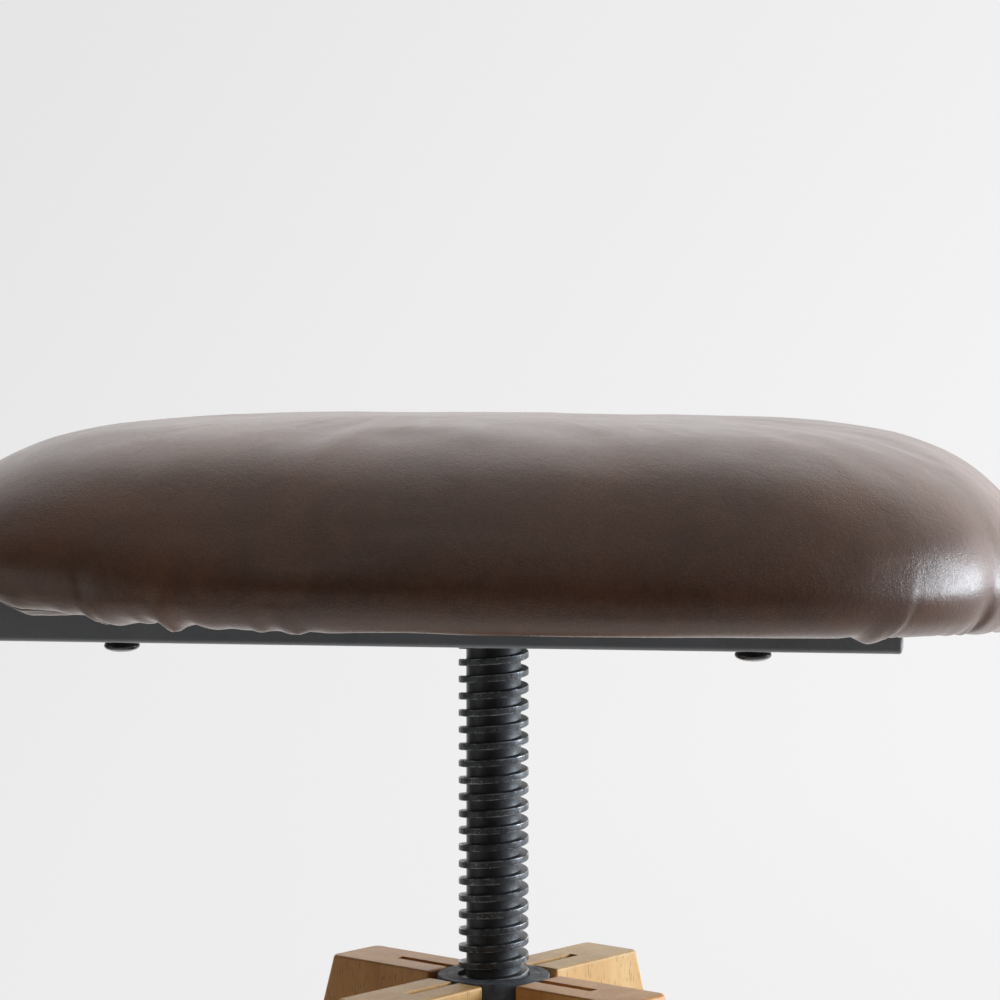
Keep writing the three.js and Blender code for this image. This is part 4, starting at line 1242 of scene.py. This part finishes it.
def build_staples():
    """Staples round the dust cover's rim, each a little askew."""
    half_length, half_width, height = STAPLE
    crown = bevelled(block((-half_length, -half_width, 0), (half_length, half_width, height)), 0.2, 2)
    staples = []
    for arc in np.arange(FIRST_STAPLE, ROUND_ARC[-1] - FIRST_STAPLE, ROUND_ARC[-1] / STAPLES):
        at = float(np.interp(arc, ROUND_ARC, ROUND_ANGLES))
        x, y = outline(at, STAPLE_INSET)
        ahead_x, ahead_y = outline(at + 0.01, STAPLE_INSET)
        askew = STAPLE_ASKEW * math.sin(17 * at)
        place = Matrix.Translation((x, y, CLOTH_LEVEL - RIM_DIP - 0.2))
        staples.append(moved(crown, place @ turned(math.atan2(ahead_y - y, ahead_x - x) + askew)))
    piece("staples", joined(*staples), ZINC, [])


# ---- floor, light and camera

FLOOR_EDGE = 1.95  # metres, like the sizes below
BACKDROP_RADIUS = 4.6
BACKDROP_TOP = 3.5
# Where the room's light comes from: (direction, where it begins and is full on that axis, colour)
ROOM = [
    ((0.30, 1, 0), (0.14, 0.9), (1.55, 1.53, 1.54)),
    ((0.88, -0.40, -0.16), (0.62, 1), (0.40, 0.41, 0.44)),
    ((-0.95, -0.22, -0.24), (0.86, 1), (0.76, 0.81, 0.78)),
    ((0.20, 0, 1), (0, 1), (0.62, 0.59, 0.57)),
    ((0.10, 0, -1), (0.40, 0.98), (1.20, 1.18, 1.16)),
]
ROOM_SHADE = (0.072, 0.054, 0.044)
WINDOW_PLACE = (1.98, 0, 0.79)
WINDOW_AIM = (0, 0, 0.52)
WINDOW_SIZE = (0.95, 0.5)
WINDOW_WATTS = 50
WINDOW_COLOUR = (0.84, 0.92, 1)
CAMERA_LENS = 104.2
CAMERA_PLACE = (-0.0784, -1.025, SEAT_TOP * MM + 0.0057)
CAMERA_DOWN = math.radians(2.1)
CAMERA_RIGHT = math.radians(4.5)


def build_stage():
    """A round floor, and a wall round it that curves up. Both only show to the camera: the light they would
    send back is part of the room's."""
    corner = [(FLOOR_EDGE + 0.01, 0), (BACKDROP_RADIUS, 0), (BACKDROP_RADIUS, BACKDROP_TOP)]
    wall = [(FLOOR_EDGE, 0)] + eased(corner, 1.4, 16)[1:]
    look = stage_look()
    for name, profile in (("floor", [(0, 0), (FLOOR_EDGE, 0)]), ("backdrop", wall)):
        points, faces = lathe(profile, 128)
        mesh = as_mesh(name, (points, [face[::-1] for face in faces]))
        mesh.polygons.foreach_set("use_smooth", [True] * len(mesh.polygons))
        mesh.materials.append(look.material)
        obj = linked(name, mesh)
        obj.visible_diffuse = obj.visible_glossy = obj.visible_transmission = False
    obj.visible_shadow = False


def build_world():
    world = bpy.data.worlds.new("studio")
    bpy.context.scene.world = world
    world.use_nodes = True
    sky = Nodes(world.node_tree)
    direction = sky.node("ShaderNodeTexCoord").outputs["Generated"]
    total = ROOM_SHADE
    for axis, (start, full), colour in ROOM:
        along = sky.node("ShaderNodeVectorMath", {"operation": "DOT_PRODUCT"})
        sky.fill(along, {0: direction, 1: Vector(axis).normalized()})
        part = sky.range(along.outputs["Value"], start=start, end=full, kind="SMOOTHSTEP")
        total = sky.mix(part, total, colour, "ADD")
    sky.fill(sky.tree.nodes["Background"], {"Color": total})


def build_window():
    lamp = bpy.data.lights.new("window", "AREA")
    lamp.shape = "RECTANGLE"
    lamp.size, lamp.size_y = WINDOW_SIZE
    lamp.energy = WINDOW_WATTS
    lamp.color = WINDOW_COLOUR
    obj = linked("window", lamp)
    obj.location = WINDOW_PLACE
    obj.rotation_euler = (Vector(WINDOW_AIM) - Vector(WINDOW_PLACE)).to_track_quat("-Z", "Y").to_euler()


def build_camera():
    camera = bpy.data.cameras.new("camera")
    camera.sensor_width = 36
    camera.lens = CAMERA_LENS
    obj = linked("camera", camera)
    obj.location = CAMERA_PLACE
    obj.rotation_euler = (math.pi / 2 - CAMERA_DOWN, 0, -CAMERA_RIGHT)
    bpy.context.scene.camera = obj


build_base()
build_screw()
build_seat_frame()
build_pad()
build_dust_cover()
build_staples()
build_stage()
build_world()
build_window()
build_camera()
bpy.context.scene.view_settings.view_transform = "Standard"

INSIDE_LOOKS = {"seat_board": PLYWOOD, "guide_bush": NYLON, "end_washer": ZINC, "end_bolt": ZINC}
INSIDE_LOOKS |= {f"tee_nut_{place}_{side}": ZINC for place in ("front", "rear") for side in ("left", "right")}
for node, look in INSIDE_LOOKS.items():
    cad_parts[node].data.materials[0] = look.material
